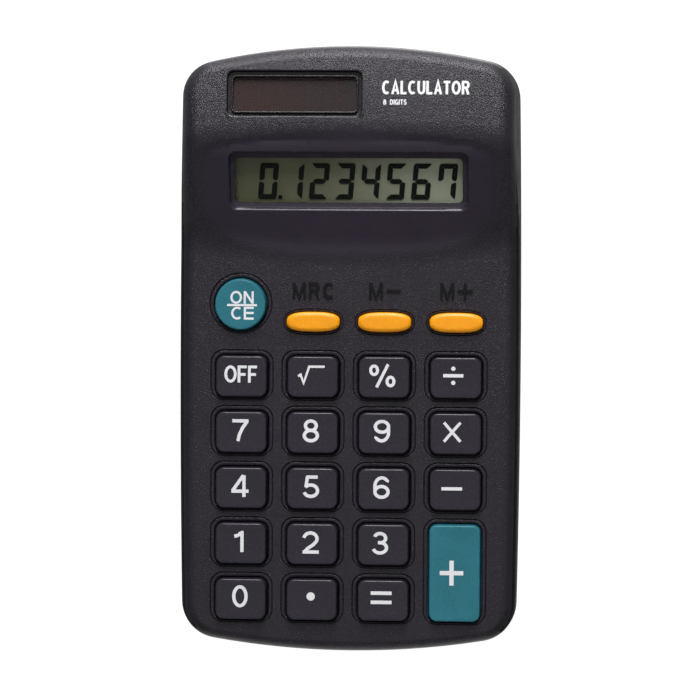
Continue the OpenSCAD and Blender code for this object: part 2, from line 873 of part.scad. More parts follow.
front_cover();
rear_cover();
battery_door();
display_window();
lcd_front_glass();
lcd_rear_glass();
lcd_reflector();
lcd_holder();
holder_screws();
lcd_ribbon();
solar_window();
solar_cell();
solar_leads();
circuit_board();
controller_chip();
capacitor();
key_membrane();
contact_pills();
board_screws();
case_screws();
battery();
battery_spring();
positive_contact();
negative_contact();
red_lead();
black_lead();
key_on_ce();
key_plus();
for (k = MEMORY_KEYS)
    memory_key(k[1]);
for (k = GRID_KEYS)
    grid_key(k[1], k[2]);
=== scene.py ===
"""Visual model of a pocket calculator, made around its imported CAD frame.

Shapes are worked out in millimetres in the frame's axes: X across the keys, +Y towards the display end,
+Z out of the keypad. Shape.build() stores them in metres.
"""

import json
import math

import bpy
import numpy as np
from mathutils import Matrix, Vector
from mathutils.geometry import delaunay_2d_cdt


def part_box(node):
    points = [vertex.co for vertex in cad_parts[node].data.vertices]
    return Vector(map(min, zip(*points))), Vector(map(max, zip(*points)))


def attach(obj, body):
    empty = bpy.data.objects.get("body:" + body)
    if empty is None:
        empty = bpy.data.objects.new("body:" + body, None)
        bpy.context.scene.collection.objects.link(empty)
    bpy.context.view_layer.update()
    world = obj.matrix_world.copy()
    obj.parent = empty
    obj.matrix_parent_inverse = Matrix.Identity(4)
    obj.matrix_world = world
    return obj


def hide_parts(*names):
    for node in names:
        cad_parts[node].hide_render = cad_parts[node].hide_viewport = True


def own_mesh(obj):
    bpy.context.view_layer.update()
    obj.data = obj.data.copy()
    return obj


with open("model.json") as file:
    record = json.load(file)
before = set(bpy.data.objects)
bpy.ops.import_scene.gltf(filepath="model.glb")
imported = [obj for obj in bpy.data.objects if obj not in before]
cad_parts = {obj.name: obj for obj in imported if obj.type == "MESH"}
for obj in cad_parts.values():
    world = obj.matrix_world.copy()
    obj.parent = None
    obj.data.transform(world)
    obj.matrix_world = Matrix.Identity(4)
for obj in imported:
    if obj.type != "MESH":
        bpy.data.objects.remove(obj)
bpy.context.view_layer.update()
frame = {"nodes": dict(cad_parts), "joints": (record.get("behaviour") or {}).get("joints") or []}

MM = 0.001

# ---- Sizes shared with the CAD, in millimetres ----


def box(node):
    """Lowest and highest corners of a CAD node."""
    low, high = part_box(node)
    return np.array(low) / MM, np.array(high) / MM


BODY_W = 64.0
BODY_L = 113.6
TOP_R = 122.0
BOTTOM_R = 153.0
SIDE_R = 2600.0
CORNER_R = 7.4
# Height of the face's rounded rim, and its width at the ends; on the sides it is SIDE_RIM wide.
RIM_R = 1.9
SIDE_RIM = 2.9
WALL = 1.8
SEAM_Z = box("front_cover")[0][2]

KEYPAD_Z = 12.0
CREST_Z = 20.0
FOLD_Y = 18.1
FOLD_BOW = 3.2
CREST_Y = 39.7
CREST_BOW = 2.0
FALL = math.tan(math.radians(5.6))
FALL_CURVE = 0.004
FOLD_SOFT = 2.8
CREST_SOFT = 3.1

DISH_DEPTH = 0.35
DISH_Y = 31.0
DISH_HALF_W = 27.4
DISH_UP = 8.6
DISH_DOWN = 13.0
DISH_EDGE = 2.8

FLANGE = 0.6
KEY_GAP = 0.16
KEY_CORNER = 1.7
OVAL_POWER = 2.8
# How far a memory key's oval stops short of its CAD box at the lower edge.
OVAL_TRIM = 0.16
MEMORY_KEYS = ("key_mrc", "key_m_minus", "key_m_plus")
KEYS = [joint["child"] for joint in frame["joints"] if joint["child"].startswith("key_")]

DISPLAY_W = 44.2
DISPLAY_H = 11.1
DISPLAY_Y = 31.3
SOLAR_W = 24.8
SOLAR_H = 8.5
SOLAR_X = -9.9
SOLAR_Y = 47.35


# ---- Outlines ----


def arc(centre, radius, start, end, count):
    """Points along an arc; the angles are in degrees."""
    turn = np.radians(np.linspace(start, end, count))
    return np.column_stack([centre[0] + radius * np.cos(turn), centre[1] + radius * np.sin(turn)])


def circle(centre, radius, count):
    """Points round a circle, counter-clockwise from its right."""
    return arc(centre, radius, 0, 360, count + 1)[:-1]


def crossing(p, a, q, b, side):
    """Where the circles p, a and q, b cross, on the side that side picks."""
    gap = np.linalg.norm(q - p)
    along = (q - p) / gap
    reach = (a * a - b * b + gap * gap) / (2 * gap)
    height = math.sqrt(a * a - reach * reach)
    return p + reach * along + side * height * np.array([-along[1], along[0]])


def heading(start, end):
    """Direction from start to end, in degrees."""
    return math.degrees(math.atan2(end[1] - start[1], end[0] - start[0]))


SIDE_C = np.array([BODY_W / 2 - SIDE_R, 0.0])
TOP_C = np.array([0.0, BODY_L / 2 - TOP_R])
BOTTOM_C = np.array([0.0, BOTTOM_R - BODY_L / 2])
HIGH_C = crossing(SIDE_C, SIDE_R - CORNER_R, TOP_C, TOP_R - CORNER_R, 1)
LOW_C = crossing(SIDE_C, SIDE_R - CORNER_R, BOTTOM_C, BOTTOM_R - CORNER_R, -1)


def outline(inset):
    """The case's outline drawn in by inset, counter-clockwise from the middle of the bottom end."""
    low_a = heading(SIDE_C, LOW_C)
    high_a = heading(SIDE_C, HIGH_C)
    bottom_a = heading(BOTTOM_C, LOW_C)
    top_a = heading(TOP_C, HIGH_C)
    right = np.vstack(
        [
            arc(BOTTOM_C, BOTTOM_R - inset, -90, bottom_a, 26)[:-1],
            arc(LOW_C, CORNER_R - inset, bottom_a, low_a, 14)[:-1],
            arc(SIDE_C, SIDE_R - inset, low_a, high_a, 112),
            arc(HIGH_C, CORNER_R - inset, high_a, top_a, 14)[1:],
            arc(TOP_C, TOP_R - inset, top_a, 90, 26)[1:],
        ]
    )
    left = right[-2:0:-1] * [-1, 1]
    return np.vstack([right, left])


EDGE = outline(0.0)
INWARD = outline(1.0) - EDGE


def drawn_in(inset):
    """The case's outline drawn in by an inset of its own at each point."""
    return EDGE + INWARD * np.reshape(inset, (-1, 1))


def rounded_box(w, h, r, per_corner=9, per_side=5):
    """Rounded rectangle about the origin, counter-clockwise, with the same point count at every size."""
    r = max(r, 0.05)
    points = []
    for quarter, (sx, sy) in enumerate([(1, 1), (-1, 1), (-1, -1), (1, -1)]):
        corner = (sx * (w / 2 - r), sy * (h / 2 - r))
        points.extend(arc(corner, r, 90 * quarter, 90 * quarter + 90, per_corner))
        sx, sy = [(-1, 1), (-1, -1), (1, -1), (1, 1)][quarter]
        ahead = np.array((sx * (w / 2 - r), sy * (h / 2 - r))) + r * np.array(
            [(0, 1), (-1, 0), (0, -1), (1, 0)][quarter]
        )
        behind = points[-1]
        for step in range(1, per_side):
            points.append(behind + (ahead - behind) * step / per_side)
    return np.array(points)


def oval(w, h):
    """Superellipse about the origin, with blunt ends."""
    turn = np.linspace(0, 2 * math.pi, 72, endpoint=False)
    c, s = np.cos(turn), np.sin(turn)
    x = w / 2 * np.sign(c) * np.abs(c) ** (2 / OVAL_POWER)
    y = h / 2 * np.sign(s) * np.abs(s) ** (2 / OVAL_POWER)
    return np.column_stack([x, y])


def key_size(key):
    """Centre, width and height of a key's cap, without its flange."""
    low, high = box(key)
    middle = (low + high) / 2
    return middle[:2], high[0] - low[0] - 2 * FLANGE, high[1] - low[1] - 2 * FLANGE


def key_plan(key, grow=0.0):
    """Outline of a key, grown by grow all round."""
    middle, w, h = key_size(key)
    if key == "key_on_ce":
        plan = circle((0, 0), w / 2 + grow, 72)
    elif key in MEMORY_KEYS:
        plan = oval(w + 2 * grow, h + 2 * grow - OVAL_TRIM) + [0, OVAL_TRIM / 2]
    else:
        plan = rounded_box(w + 2 * grow, h + 2 * grow, KEY_CORNER + grow * 0.9)
    return plan + middle


# ---- The skin of the front cover ----


def ramp(t, soft):
    """The larger of 0 and t, with its corner rounded over soft on each side."""
    return np.where(t < -soft, 0.0, np.where(t > soft, t, (t + soft) ** 2 / (4 * soft)))


def ease(t):
    """Smooth step from 0 to 1."""
    t = np.clip(t, 0, 1)
    return t * t * (3 - 2 * t)


def dish(x, y):
    """1 inside the smooth dish round the display, 0 outside it."""
    rise = y + CREST_BOW * (2 * x / BODY_W) ** 2 - DISH_Y
    half = np.where(rise > 0, DISH_UP, DISH_DOWN)
    power = np.where(rise > 0, 7.0, 2.5)
    reach = (np.abs(x) / DISH_HALF_W) ** power + (np.abs(rise) / half) ** power
    reach = np.maximum(reach, 1e-6) ** (1 / power)
    to_edge = np.hypot(x, rise) * (1 / reach - 1)
    return ease(to_edge / DISH_EDGE + 0.5)


def dish_edge(points):
    """Which plan points lie on the dish's rounded edge."""
    inside = dish(points[:, 0], points[:, 1])
    return (inside > 0) & (inside < 1) & (points[:, 1] > FOLD_Y + 2)


def skin(x, y):
    """Height of the front cover's face: flat keypad, slope up to the crest, and the fall behind it."""
    across = (2 * x / BODY_W) ** 2
    fold = FOLD_Y + FOLD_BOW * across
    crest = CREST_Y - CREST_BOW * across
    slope = (CREST_Z - KEYPAD_Z) / (crest - fold)
    behind = ramp(y - crest, CREST_SOFT)
    height = KEYPAD_Z + slope * ramp(y - fold, FOLD_SOFT) - (slope + FALL) * behind - FALL_CURVE * behind**2
    climbed = np.clip((y - fold) / (crest - fold), 0, 1)
    return height - DISH_DEPTH * climbed * dish(x, y)


def skin_at(points):
    """Height of the face at each of an array of points."""
    return skin(points[:, 0], points[:, 1])


def skin_normals(x, y):
    step = 0.02
    rise_x = (skin(x + step, y) - skin(x - step, y)) / (2 * step)
    rise_y = (skin(x, y + step) - skin(x, y - step)) / (2 * step)
    normals = np.column_stack([-rise_x, -rise_y, np.ones(len(x))])
    return normals / np.linalg.norm(normals, axis=1)[:, None]


class Slant:
    """A sloping face: plan points (u, v) at height w above it, put into the frame."""

    def __init__(self, x, y, angle):
        self.origin = np.array([x, y, float(skin(np.array([x]), np.array([y]))[0])])
        self.angle = math.radians(angle)

    def place(self, uv, w):
        c, s = math.cos(self.angle), math.sin(self.angle)
        uv = np.asarray(uv, float)
        height = np.broadcast_to(np.asarray(w, float), len(uv))
        x = self.origin[0] + uv[:, 0]
        y = self.origin[1] + uv[:, 1] * c - height * s
        z = self.origin[2] + uv[:, 1] * s + height * c
        return np.column_stack([x, y, z])

    def at(self, w):
        """Function that places plan points at height w."""
        return lambda uv: self.place(uv, w)


DISPLAY_ANGLE = math.degrees(math.atan((CREST_Z - DISH_DEPTH - KEYPAD_Z) / (CREST_Y - FOLD_Y)))
DISPLAY = Slant(0.0, DISPLAY_Y, DISPLAY_ANGLE)
SOLAR = Slant(SOLAR_X, SOLAR_Y, -math.degrees(math.atan(FALL + 2 * FALL_CURVE * (SOLAR_Y - CREST_Y))))


# ---- Meshes ----


class Shape:
    """Points and faces of one mesh, in millimetres. A loop of points is a list of their numbers."""

    def __init__(self):
        self.points = []
        self.faces = []
        self.normals = {}

    def loop(self, points):
        start = len(self.points)
        self.points.extend(tuple(p) for p in points)
        return list(range(start, len(self.points)))

    def ring(self, plan, z):
        """Loop over a plan outline at one height, or at a height for each point."""
        return self.loop(np.column_stack([plan, np.broadcast_to(z, len(plan))]))

    def bridge(self, a, b):
        count = len(a)
        for i in range(count):
            j = (i + 1) % count
            self.faces.append((a[i], a[j], b[j], b[i]))

    def sweep(self, loops):
        """Skin through loops, facing outward where they run counter-clockwise and climb or draw in."""
        for a, b in zip(loops, loops[1:]):
            self.bridge(a, b)
        return loops[-1]

    def cap(self, loop, up=True):
        self.faces.append(tuple(loop if up else reversed(loop)))

    def close(self, loops):
        """Skin through loops, with a cap on the first and on the last."""
        self.cap(loops[0], up=False)
        self.cap(self.sweep(loops))

    def fill(self, outer, holes=(), loose=(), up=True):
        """Triangles over the region inside outer and outside holes, through the loose points."""
        numbers = list(outer) + [n for hole in holes for n in hole] + list(loose)
        flat = [Vector(self.points[n][:2]) for n in numbers]
        regions = []
        start = 0
        for ring in [outer, *holes]:
            regions.append(list(range(start, start + len(ring))))
            start += len(ring)
        _, _, faces, origins, _, inside = delaunay_2d_cdt(flat, [], regions, 1, 1e-7, True)
        for face, within in zip(faces, inside):
            if list(within) != [0]:
                continue
            ids = [numbers[origins[v][0]] for v in face]
            a, b, c = (self.points[n] for n in ids)
            turn = (b[0] - a[0]) * (c[1] - a[1]) - (b[1] - a[1]) * (c[0] - a[0])
            if (turn > 0) != up:
                ids.reverse()
            self.faces.append(tuple(ids))

    def add(self, other, place):
        """Adds a copy of another shape, its points moved by place."""
        first = len(self.points)
        self.points.extend(map(tuple, place(np.array(other.points, float))))
        self.faces.extend(tuple(n + first for n in face) for face in other.faces)

    def solid(self, name, material=None, sharp=40):
        """A Blender object of this shape. Edges that turn more than sharp degrees stay crisp."""
        mesh = bpy.data.meshes.new(name)
        mesh.from_pydata([(x * MM, y * MM, z * MM) for x, y, z in self.points], [], self.faces)
        mesh.validate()
        mesh.shade_smooth()
        mesh.set_sharp_from_angle(angle=math.radians(sharp))
        if self.normals:
            self._set_normals(mesh)
        if material:
            mesh.materials.append(material)
        return bpy.data.objects.new(name, mesh)

    def build(self, name, body, material, slot=None, replaces=(), sharp=40):
        """The shape as a finished piece that rides on a body."""
        return adopt(self.solid(name, material, sharp), body, replaces)

    def _set_normals(self, mesh):
        """Gives chosen points their exact normals on the faces that roughly face that way."""
        corner = np.empty(len(mesh.loops) * 3)
        mesh.corner_normals.foreach_get("vector", corner)
        corner = corner.reshape(-1, 3)
        for face in mesh.polygons:
            for k in face.loop_indices:
                exact = self.normals.get(mesh.loops[k].vertex_index)
                if exact is not None and np.dot(exact, face.normal) > 0.8:
                    corner[k] = exact
        mesh.normals_split_custom_set([tuple(n) for n in corner])


def adopt(piece, body, replaces=()):
    """Links a piece to the scene, parents it to its body and hides the CAD parts it replaces."""
    if not piece.users_collection:
        bpy.context.scene.collection.objects.link(piece)
    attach(piece, body)
    if replaces:
        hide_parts(*replaces)
    return piece


def covers(ring, points):
    """Which points lie inside a closed ring."""
    inside = np.zeros(len(points), bool)
    x, y = points[:, 0], points[:, 1]
    before = ring[-1]
    for here in ring:
        crosses = (here[1] > y) != (before[1] > y)
        if here[1] != before[1]:
            edge = here[0] + (y - here[1]) * (before[0] - here[0]) / (before[1] - here[1])
            inside ^= crosses & (x < edge)
        before = here
    return inside


def scattered(outer, holes, pitch, clear):
    """Staggered grid of plan points inside outer, outside holes and at least clear from both."""
    low, high = outer.min(0), outer.max(0)
    rows = np.arange(low[1] + clear, high[1], pitch * 0.87)
    grid = []
    for i, y in enumerate(rows):
        xs = np.arange(low[0] + (i % 2) * pitch / 2, high[0], pitch)
        grid.append(np.column_stack([xs, np.full(len(xs), y)]))
    grid = np.vstack(grid)
    keep = covers(outer, grid)
    for ring in [outer, *holes]:
        if ring is not outer:
            keep &= ~covers(ring, grid)
        gap = np.min(np.linalg.norm(grid[:, None, :] - ring[None, :, :], axis=2), axis=1)
        keep &= gap > clear
    return grid[keep]


# ---- Lettering ----

# A glyph is its width and its pen strokes, in cap heights. Strokes run along the middle of the pen.


def bow(cx, cy, rx, ry, start, end, count=25):
    """Stroke along part of an ellipse; the angles are in degrees."""
    return arc((0, 0), 1, start, end, count) * [rx, ry] + [cx, cy]


def run(*parts):
    """One stroke through points and arcs, without repeated points."""
    points = np.vstack([np.atleast_2d(part) for part in parts])
    apart = np.linalg.norm(np.diff(points, axis=0), axis=1) > 1e-3
    return points[np.concatenate([[True], apart])]


def half_turned(strokes, width):
    return [np.array([width, 1.0]) - stroke for stroke in strokes]


def glyph(width, *strokes):
    return width, strokes


STEM = run((0.078, 0), (0.078, 1))
SIX = [
    bow(0.385, 0.31, 0.298, 0.236, 0, 360, 41),
    run(bow(0.40, 0.56, 0.315, 0.365, 180, 38), (0.63, 0.745)),
    run((0.087, 0.32), (0.086, 0.45), (0.085, 0.57)),
]

GLYPHS = {
    "0": glyph(0.76, bow(0.38, 0.5, 0.302, 0.424, 0, 360, 49)),
    "1": glyph(
        0.50,
        run((0.42, 0.0), (0.42, 1.0)),
        run((0.0, 0.755), (0.14, 0.77), (0.27, 0.83), (0.35, 0.93)),
    ),
    "2": glyph(
        0.75,
        run(bow(0.375, 0.665, 0.29, 0.258, 172, -28), (0.50, 0.40), (0.25, 0.23), (0.14, 0.11)),
        run((0.03, 0.076), (0.745, 0.076)),
    ),
    "3": glyph(
        0.75,
        run((0.27, 0.53), bow(0.365, 0.72, 0.255, 0.204, -84, 162)),
        run((0.27, 0.53), bow(0.36, 0.302, 0.30, 0.226, 88, -166)),
    ),
    "4": glyph(
        0.78,
        run((0.545, 1.0), (0.06, 0.30)),
        run((0.0, 0.265), (0.78, 0.265)),
        run((0.57, 0.0), (0.57, 1.0)),
    ),
    "5": glyph(
        0.76,
        run((0.17, 0.924), (0.68, 0.924)),
        run((0.215, 0.95), (0.145, 0.48)),
        bow(0.365, 0.325, 0.31, 0.25, 143, -163),
    ),
    "6": glyph(0.77, *SIX),
    "7": glyph(
        0.75,
        run((0.02, 0.924), (0.74, 0.924)),
        run((0.68, 0.90), (0.47, 0.60), (0.33, 0.28), (0.27, 0.0)),
    ),
    "8": glyph(
        0.77,
        bow(0.385, 0.722, 0.252, 0.202, 0, 360, 37),
        bow(0.385, 0.298, 0.305, 0.222, 0, 360, 41),
    ),
    "9": glyph(0.77, *half_turned(SIX, 0.77)),
    "%": glyph(
        1.12,
        bow(0.215, 0.74, 0.145, 0.185, 0, 360, 33),
        bow(0.905, 0.26, 0.145, 0.185, 0, 360, 33),
        run((0.80, 1.0), (0.32, 0.0)),
    ),
    "root": glyph(1.42, run((0.02, 0.42), (0.15, 0.50), (0.31, 0.06), (0.60, 0.93), (1.42, 0.93))),
    "minus": glyph(0.95, run((0, 0.5), (0.95, 0.5))),
    "equals": glyph(0.95, run((0, 0.29), (0.95, 0.29)), run((0, 0.71), (0.95, 0.71))),
    "plus": glyph(1.0, run((0, 0.5), (1, 0.5)), run((0.5, 0), (0.5, 1))),
    "A": glyph(0.78, run((0.07, 0.0), (0.39, 0.98), (0.71, 0.0)), run((0.18, 0.30), (0.60, 0.30))),
    "C": glyph(0.80, bow(0.42, 0.5, 0.34, 0.424, 52, 308, 33)),
    "D": glyph(
        0.80,
        run((0.078, 0.924), bow(0.36, 0.5, 0.36, 0.424, 90, -90), (0.078, 0.076), (0.078, 0.95)),
    ),
    "E": glyph(0.68, STEM, *[run((0.078, y), (0.68, y)) for y in (0.076, 0.52, 0.924)]),
    "F": glyph(0.66, STEM, run((0.078, 0.924), (0.66, 0.924)), run((0.078, 0.48), (0.58, 0.48))),
    "G": glyph(
        0.82,
        bow(0.42, 0.5, 0.34, 0.424, 50, 350, 33),
        run((0.46, 0.46), (0.80, 0.46)),
        run((0.74, 0.0), (0.74, 0.46)),
    ),
    "I": glyph(0.16, run((0.08, 0), (0.08, 1))),
    "L": glyph(0.62, STEM, run((0.078, 0.076), (0.62, 0.076))),
    "M": glyph(0.92, STEM, run((0.842, 0), (0.842, 1)), run((0.10, 0.97), (0.46, 0.06), (0.82, 0.97))),
    "N": glyph(0.76, STEM, run((0.682, 0), (0.682, 1)), run((0.09, 0.96), (0.67, 0.04))),
    "O": glyph(0.88, bow(0.44, 0.5, 0.362, 0.424, 0, 360, 45)),
    "R": glyph(
        0.76,
        STEM,
        run((0.078, 0.924), bow(0.44, 0.712, 0.235, 0.212, 90, -90), (0.078, 0.50)),
        run((0.42, 0.50), (0.68, 0.0)),
    ),
    "S": glyph(
        0.72,
        run(bow(0.36, 0.7185, 0.27, 0.206, 25, 270), bow(0.36, 0.2935, 0.285, 0.219, 90, -155)),
    ),
    "T": glyph(0.72, run((0, 0.924), (0.72, 0.924)), run((0.36, 0), (0.36, 0.924))),
    "U": glyph(
        0.76,
        run((0.078, 1), (0.078, 0.38), bow(0.38, 0.38, 0.302, 0.304, 180, 360), (0.682, 0.38), (0.682, 1)),
    ),
    "X": glyph(0.86, run((0.09, 0), (0.77, 1)), run((0.09, 1), (0.77, 0))),
}


def pen_quads(stroke, pen):
    """The stroke as four-sided pieces, pen wide, mitred where it turns."""
    closed = len(stroke) > 3 and np.allclose(stroke[0], stroke[-1])
    points = stroke[:-1] if closed else stroke
    count = len(points)
    sides = []
    for i in range(count):
        before = points[i - 1] if closed or i else None
        after = points[(i + 1) % count] if closed or i < count - 1 else None
        legs = ((before, points[i]), (points[i], after))
        steps = [b - a for a, b in legs if a is not None and b is not None]
        across = [np.array([-s[1], s[0]]) / np.linalg.norm(s) for s in steps]
        bisector = sum(across)
        bisector = bisector / np.linalg.norm(bisector)
        reach = pen / 2 / max(0.45, float(np.dot(bisector, across[0])))
        sides.append((points[i] + bisector * reach, points[i] - bisector * reach))
    last = count if closed else count - 1
    quads = []
    for i in range(last):
        (left_a, right_a), (left_b, right_b) = sides[i], sides[(i + 1) % count]
        quads.append(np.array([right_a, right_b, left_b, left_a]))
    return quads


def turned_left(ring):
    """The ring as it is if it runs counter-clockwise, or reversed."""
    x, y = ring[:, 0], ring[:, 1]
    area = np.sum(x * np.roll(y, -1) - np.roll(x, -1) * y)
    return ring if area > 0 else ring[::-1]


def plated(shape, outlines, top, bottom):
    """Adds the union of plan outlines as a plate. top and bottom put plan points on its two faces."""
    rings = [turned_left(np.asarray(ring)) for ring in outlines]
    flat = [Vector(p) for ring in rings for p in ring]
    regions = []
    start = 0
    for ring in rings:
        regions.append(list(range(start, start + len(ring))))
        start += len(ring)
    points, _, faces, _, _, inside = delaunay_2d_cdt(flat, [], regions, 1, 1e-5, True)
    faces = [face for face, within in zip(faces, inside) if within]
    plan = np.array([tuple(p) for p in points])
    upper = shape.loop(top(plan))
    lower = shape.loop(bottom(plan))
    edges = {}
    for face in faces:
        a, b, c = (plan[v] for v in face)
        if (b[0] - a[0]) * (c[1] - a[1]) < (b[1] - a[1]) * (c[0] - a[0]):
            face = face[::-1]
        shape.faces.append(tuple(upper[v] for v in face))
        shape.faces.append(tuple(lower[v] for v in reversed(face)))
        for a, b in zip(face, (*face[1:], face[0])):
            edges[(a, b)] = True
    for a, b in edges:
        if (b, a) not in edges:
            shape.faces.append((lower[a], lower[b], upper[b], upper[a]))


def level(z):
    """Function that puts plan points at one height."""
    return lambda plan: np.column_stack([plan, np.full(len(plan), z)])


def lifted(height, lift):
    """Function that puts plan points lift above the height that height gives them."""
    return lambda plan: np.column_stack([plan, height(plan) + lift])


def lettered(text, height, pen, spacing=0.14, squeeze=1.0):
    """Outlines of a line of glyphs, centred on the origin."""
    names = text if isinstance(text, (list, tuple)) else list(text)
    widths = [0.45 if name == " " else GLYPHS[name][0] * squeeze for name in names]
    total = sum(widths) + spacing * (len(names) - 1)
    outlines = []
    x = -total / 2
    for name, width in zip(names, widths):
        for stroke in GLYPHS[name][1] if name != " " else ():
            moved = (stroke * [squeeze, 1.0] + [x, -0.5]) * height
            outlines.extend(pen_quads(moved, pen))
        x += width + spacing
    return outlines


def drop_unused(shape):
    """Removes points that no face uses."""
    used = sorted({n for face in shape.faces for n in face})
    place = {n: i for i, n in enumerate(used)}
    shape.points = [shape.points[n] for n in used]
    shape.faces = [tuple(place[n] for n in face) for face in shape.faces]
    shape.normals = {place[n]: normal for n, normal in shape.normals.items() if n in place}
    return shape


# ---- Materials ----


class Graph:
    """A material's node tree, with short names for what the materials below need."""

    def __init__(self, name):
        self.material = bpy.data.materials.new(name)
        self.material.use_nodes = True
        self.tree = self.material.node_tree
        self.tree.nodes.clear()
        self.output = self.tree.nodes.new("ShaderNodeOutputMaterial")
        self.shader = self.node("ShaderNodeBsdfPrincipled")
        self.link(self.shader.outputs[0], self.output.inputs["Surface"])
        self.place = self.node("ShaderNodeTexCoord").outputs["Object"]

    def node(self, kind, **settings):
        made = self.tree.nodes.new(kind)
        for key, value in settings.items():
            setattr(made, key, value)
        return made

    def link(self, source, target):
        self.tree.links.new(source, target)

    def put(self, target, value):
        if isinstance(value, bpy.types.NodeSocket):
            self.link(value, target)
        else:
            target.default_value = value

    def noise(self, size, detail=3.0, roughness=0.55, stretch=None):
        """Noise with features about size millimetres across, longer along an axis where stretch says so."""
        noise = self.node("ShaderNodeTexNoise")
        noise.inputs["Scale"].default_value = 1 / (size * MM)
        noise.inputs["Detail"].default_value = detail
        noise.inputs["Roughness"].default_value = roughness
        place = self.place
        if stretch:
            mapping = self.node("ShaderNodeMapping")
            mapping.inputs["Scale"].default_value = stretch
            self.link(place, mapping.inputs["Vector"])
            place = mapping.outputs["Vector"]
        self.link(place, noise.inputs["Vector"])
        return noise.outputs["Fac"]

    def spread(self, value, low, high, start=0.3, end=0.7):
        """Maps start..end of a value to low..high."""
        node = self.node("ShaderNodeMapRange")
        for key, number in (("From Min", start), ("From Max", end), ("To Min", low), ("To Max", high)):
            self.put(node.inputs[key], number)
        self.link(value, node.inputs["Value"])
        return node.outputs["Result"]

    def mix(self, factor, a, b):
        node = self.node("ShaderNodeMix", data_type="RGBA")
        self.put(node.inputs["Factor"], factor)
        for key, colour in ((6, a), (7, b)):
            linked = isinstance(colour, bpy.types.NodeSocket)
            self.put(node.inputs[key], colour if linked else (*colour, 1))
        return node.outputs[2]

    def shade(self, value, a, b):
        """Colour that drifts from a to b with a noise."""
        return self.mix(self.spread(value, 0.0, 1.0), a, b)

    def maths(self, operation, a, b=0.0):
        node = self.node("ShaderNodeMath", operation=operation)
        self.put(node.inputs[0], a)
        self.put(node.inputs[1], b)
        return node.outputs[0]

    def bump(self, height, depth, strength=1.0, after=None):
        """Bump depth millimetres high, on top of an earlier bump where one is given."""
        node = self.node("ShaderNodeBump")
        node.inputs["Distance"].default_value = depth * MM
        self.put(node.inputs["Strength"], strength)
        self.link(height, node.inputs["Height"])
        if after is not None:
            self.link(after, node.inputs["Normal"])
        return node.outputs["Normal"]

    def axis(self, name):
        split = self.node("ShaderNodeSeparateXYZ")
        self.link(self.place, split.inputs[0])
        return split.outputs[name]

    def attribute(self, name):
        return self.node("ShaderNodeAttribute", attribute_name=name).outputs["Fac"]

    def finish(self, **sockets):
        for key, value in sockets.items():
            label = key.replace("_", " ").title().replace("Ior", "IOR")
            self.put(self.shader.inputs[label], (*value, 1) if isinstance(value, tuple) else value)
        return self.material


def tinted(colour, factor):
    return tuple(min(1.0, c * factor) for c in colour)


def moulded(name, colour, roughness, grain, grain_size, specular=0.5, painted_glints=0.35, painted=False):
    """Moulded plastic: fine spark-eroded grain with lighter dots over its peaks as painted glints, slow
    colour drift and faint handling marks.

    Where the mesh is painted, its dish is smoother and has a lighter colour as painted light, and its
    pocket and sides have darker colours as painted shade.
    """
    g = Graph(name)
    drift = g.noise(9.0, 4.0)
    grain_map = g.noise(grain_size, 1.5, 0.6)
    glint_specks = g.spread(grain_map, 0.0, 1.0, 0.5, 0.72)
    base = g.shade(drift, tinted(colour, 0.9), tinted(colour, 1.1))
    # Lighter dots over the grain's peaks are painted glints.
    base = g.mix(g.maths("MULTIPLY", glint_specks, painted_glints), base, tinted(colour, 3.0))
    rough = g.spread(g.noise(3.0, 5.0), roughness - 0.05, roughness + 0.07)
    strength = 1.0
    if painted:
        mask = g.attribute("dish")
        strength = g.maths("SUBTRACT", 1.0, g.maths("MULTIPLY", mask, 0.82))
        # The dish's lighter colour is painted light.
        base = g.mix(mask, base, g.shade(drift, tinted(colour, 1.9), tinted(colour, 2.1)))
        pocket, side = g.attribute("pocket"), g.attribute("side")
        # The pocket's and the sides' darker colours are painted shade.
        base = g.mix(side, g.mix(pocket, base, tinted(colour, 0.35)), tinted(colour, 0.3))
        rough = g.maths("ADD", rough, g.maths("MULTIPLY", side, 0.35))
        calm = g.maths("MAXIMUM", g.maths("MULTIPLY", pocket, 0.9), g.maths("MULTIPLY", side, 0.5))
        strength = g.maths("MULTIPLY", strength, g.maths("SUBTRACT", 1.0, calm))
    marks = g.bump(g.noise(1.8, 3.0, 0.5, stretch=(1.0, 0.25, 1.0)), 0.004)
    normal = g.bump(grain_map, grain, strength, after=marks)
    return g.finish(base_color=base, roughness=rough, normal=normal, specular_ior_level=specular)


def filmed(name, dark, light, size, roughness, depth):
    """Even film. Its colour, roughness (low, high) and surface drift over size millimetres."""
    g = Graph(name)
    drift = g.noise(size, 3.0)
    base = g.shade(drift, dark, light)
    return g.finish(base_color=base, roughness=g.spread(drift, *roughness), normal=g.bump(drift, depth))


def clear(name, tint, alpha, roughness=0.06):
    """Thin clear sheet: mostly see-through, with its surface shine and faint smears."""
    g = Graph(name)
    smear = g.noise(6.0, 5.0, 0.6, stretch=(1.0, 2.0, 1.0))
    g.shader.inputs["Alpha"].default_value = alpha
    return g.finish(
        base_color=g.shade(smear, tinted(tint, 0.95), tint),
        roughness=g.spread(smear, roughness, roughness + 0.07),
        normal=g.bump(smear, 0.002),
        ior=1.49,
    )


def metal(name, colour, roughness=0.3, brushed=(1.0, 12.0, 12.0)):
    """Plated or drawn metal with fine lines and dull patches."""
    g = Graph(name)
    lines = g.noise(0.6, 4.0, 0.6, stretch=brushed)
    patches = g.noise(2.5, 4.0)
    return g.finish(
        base_color=g.shade(patches, tinted(colour, 0.85), colour),
        metallic=1.0,
        roughness=g.spread(lines, roughness - 0.08, roughness + 0.1),
        normal=g.bump(lines, 0.003),
    )


# ---- Front cover ----

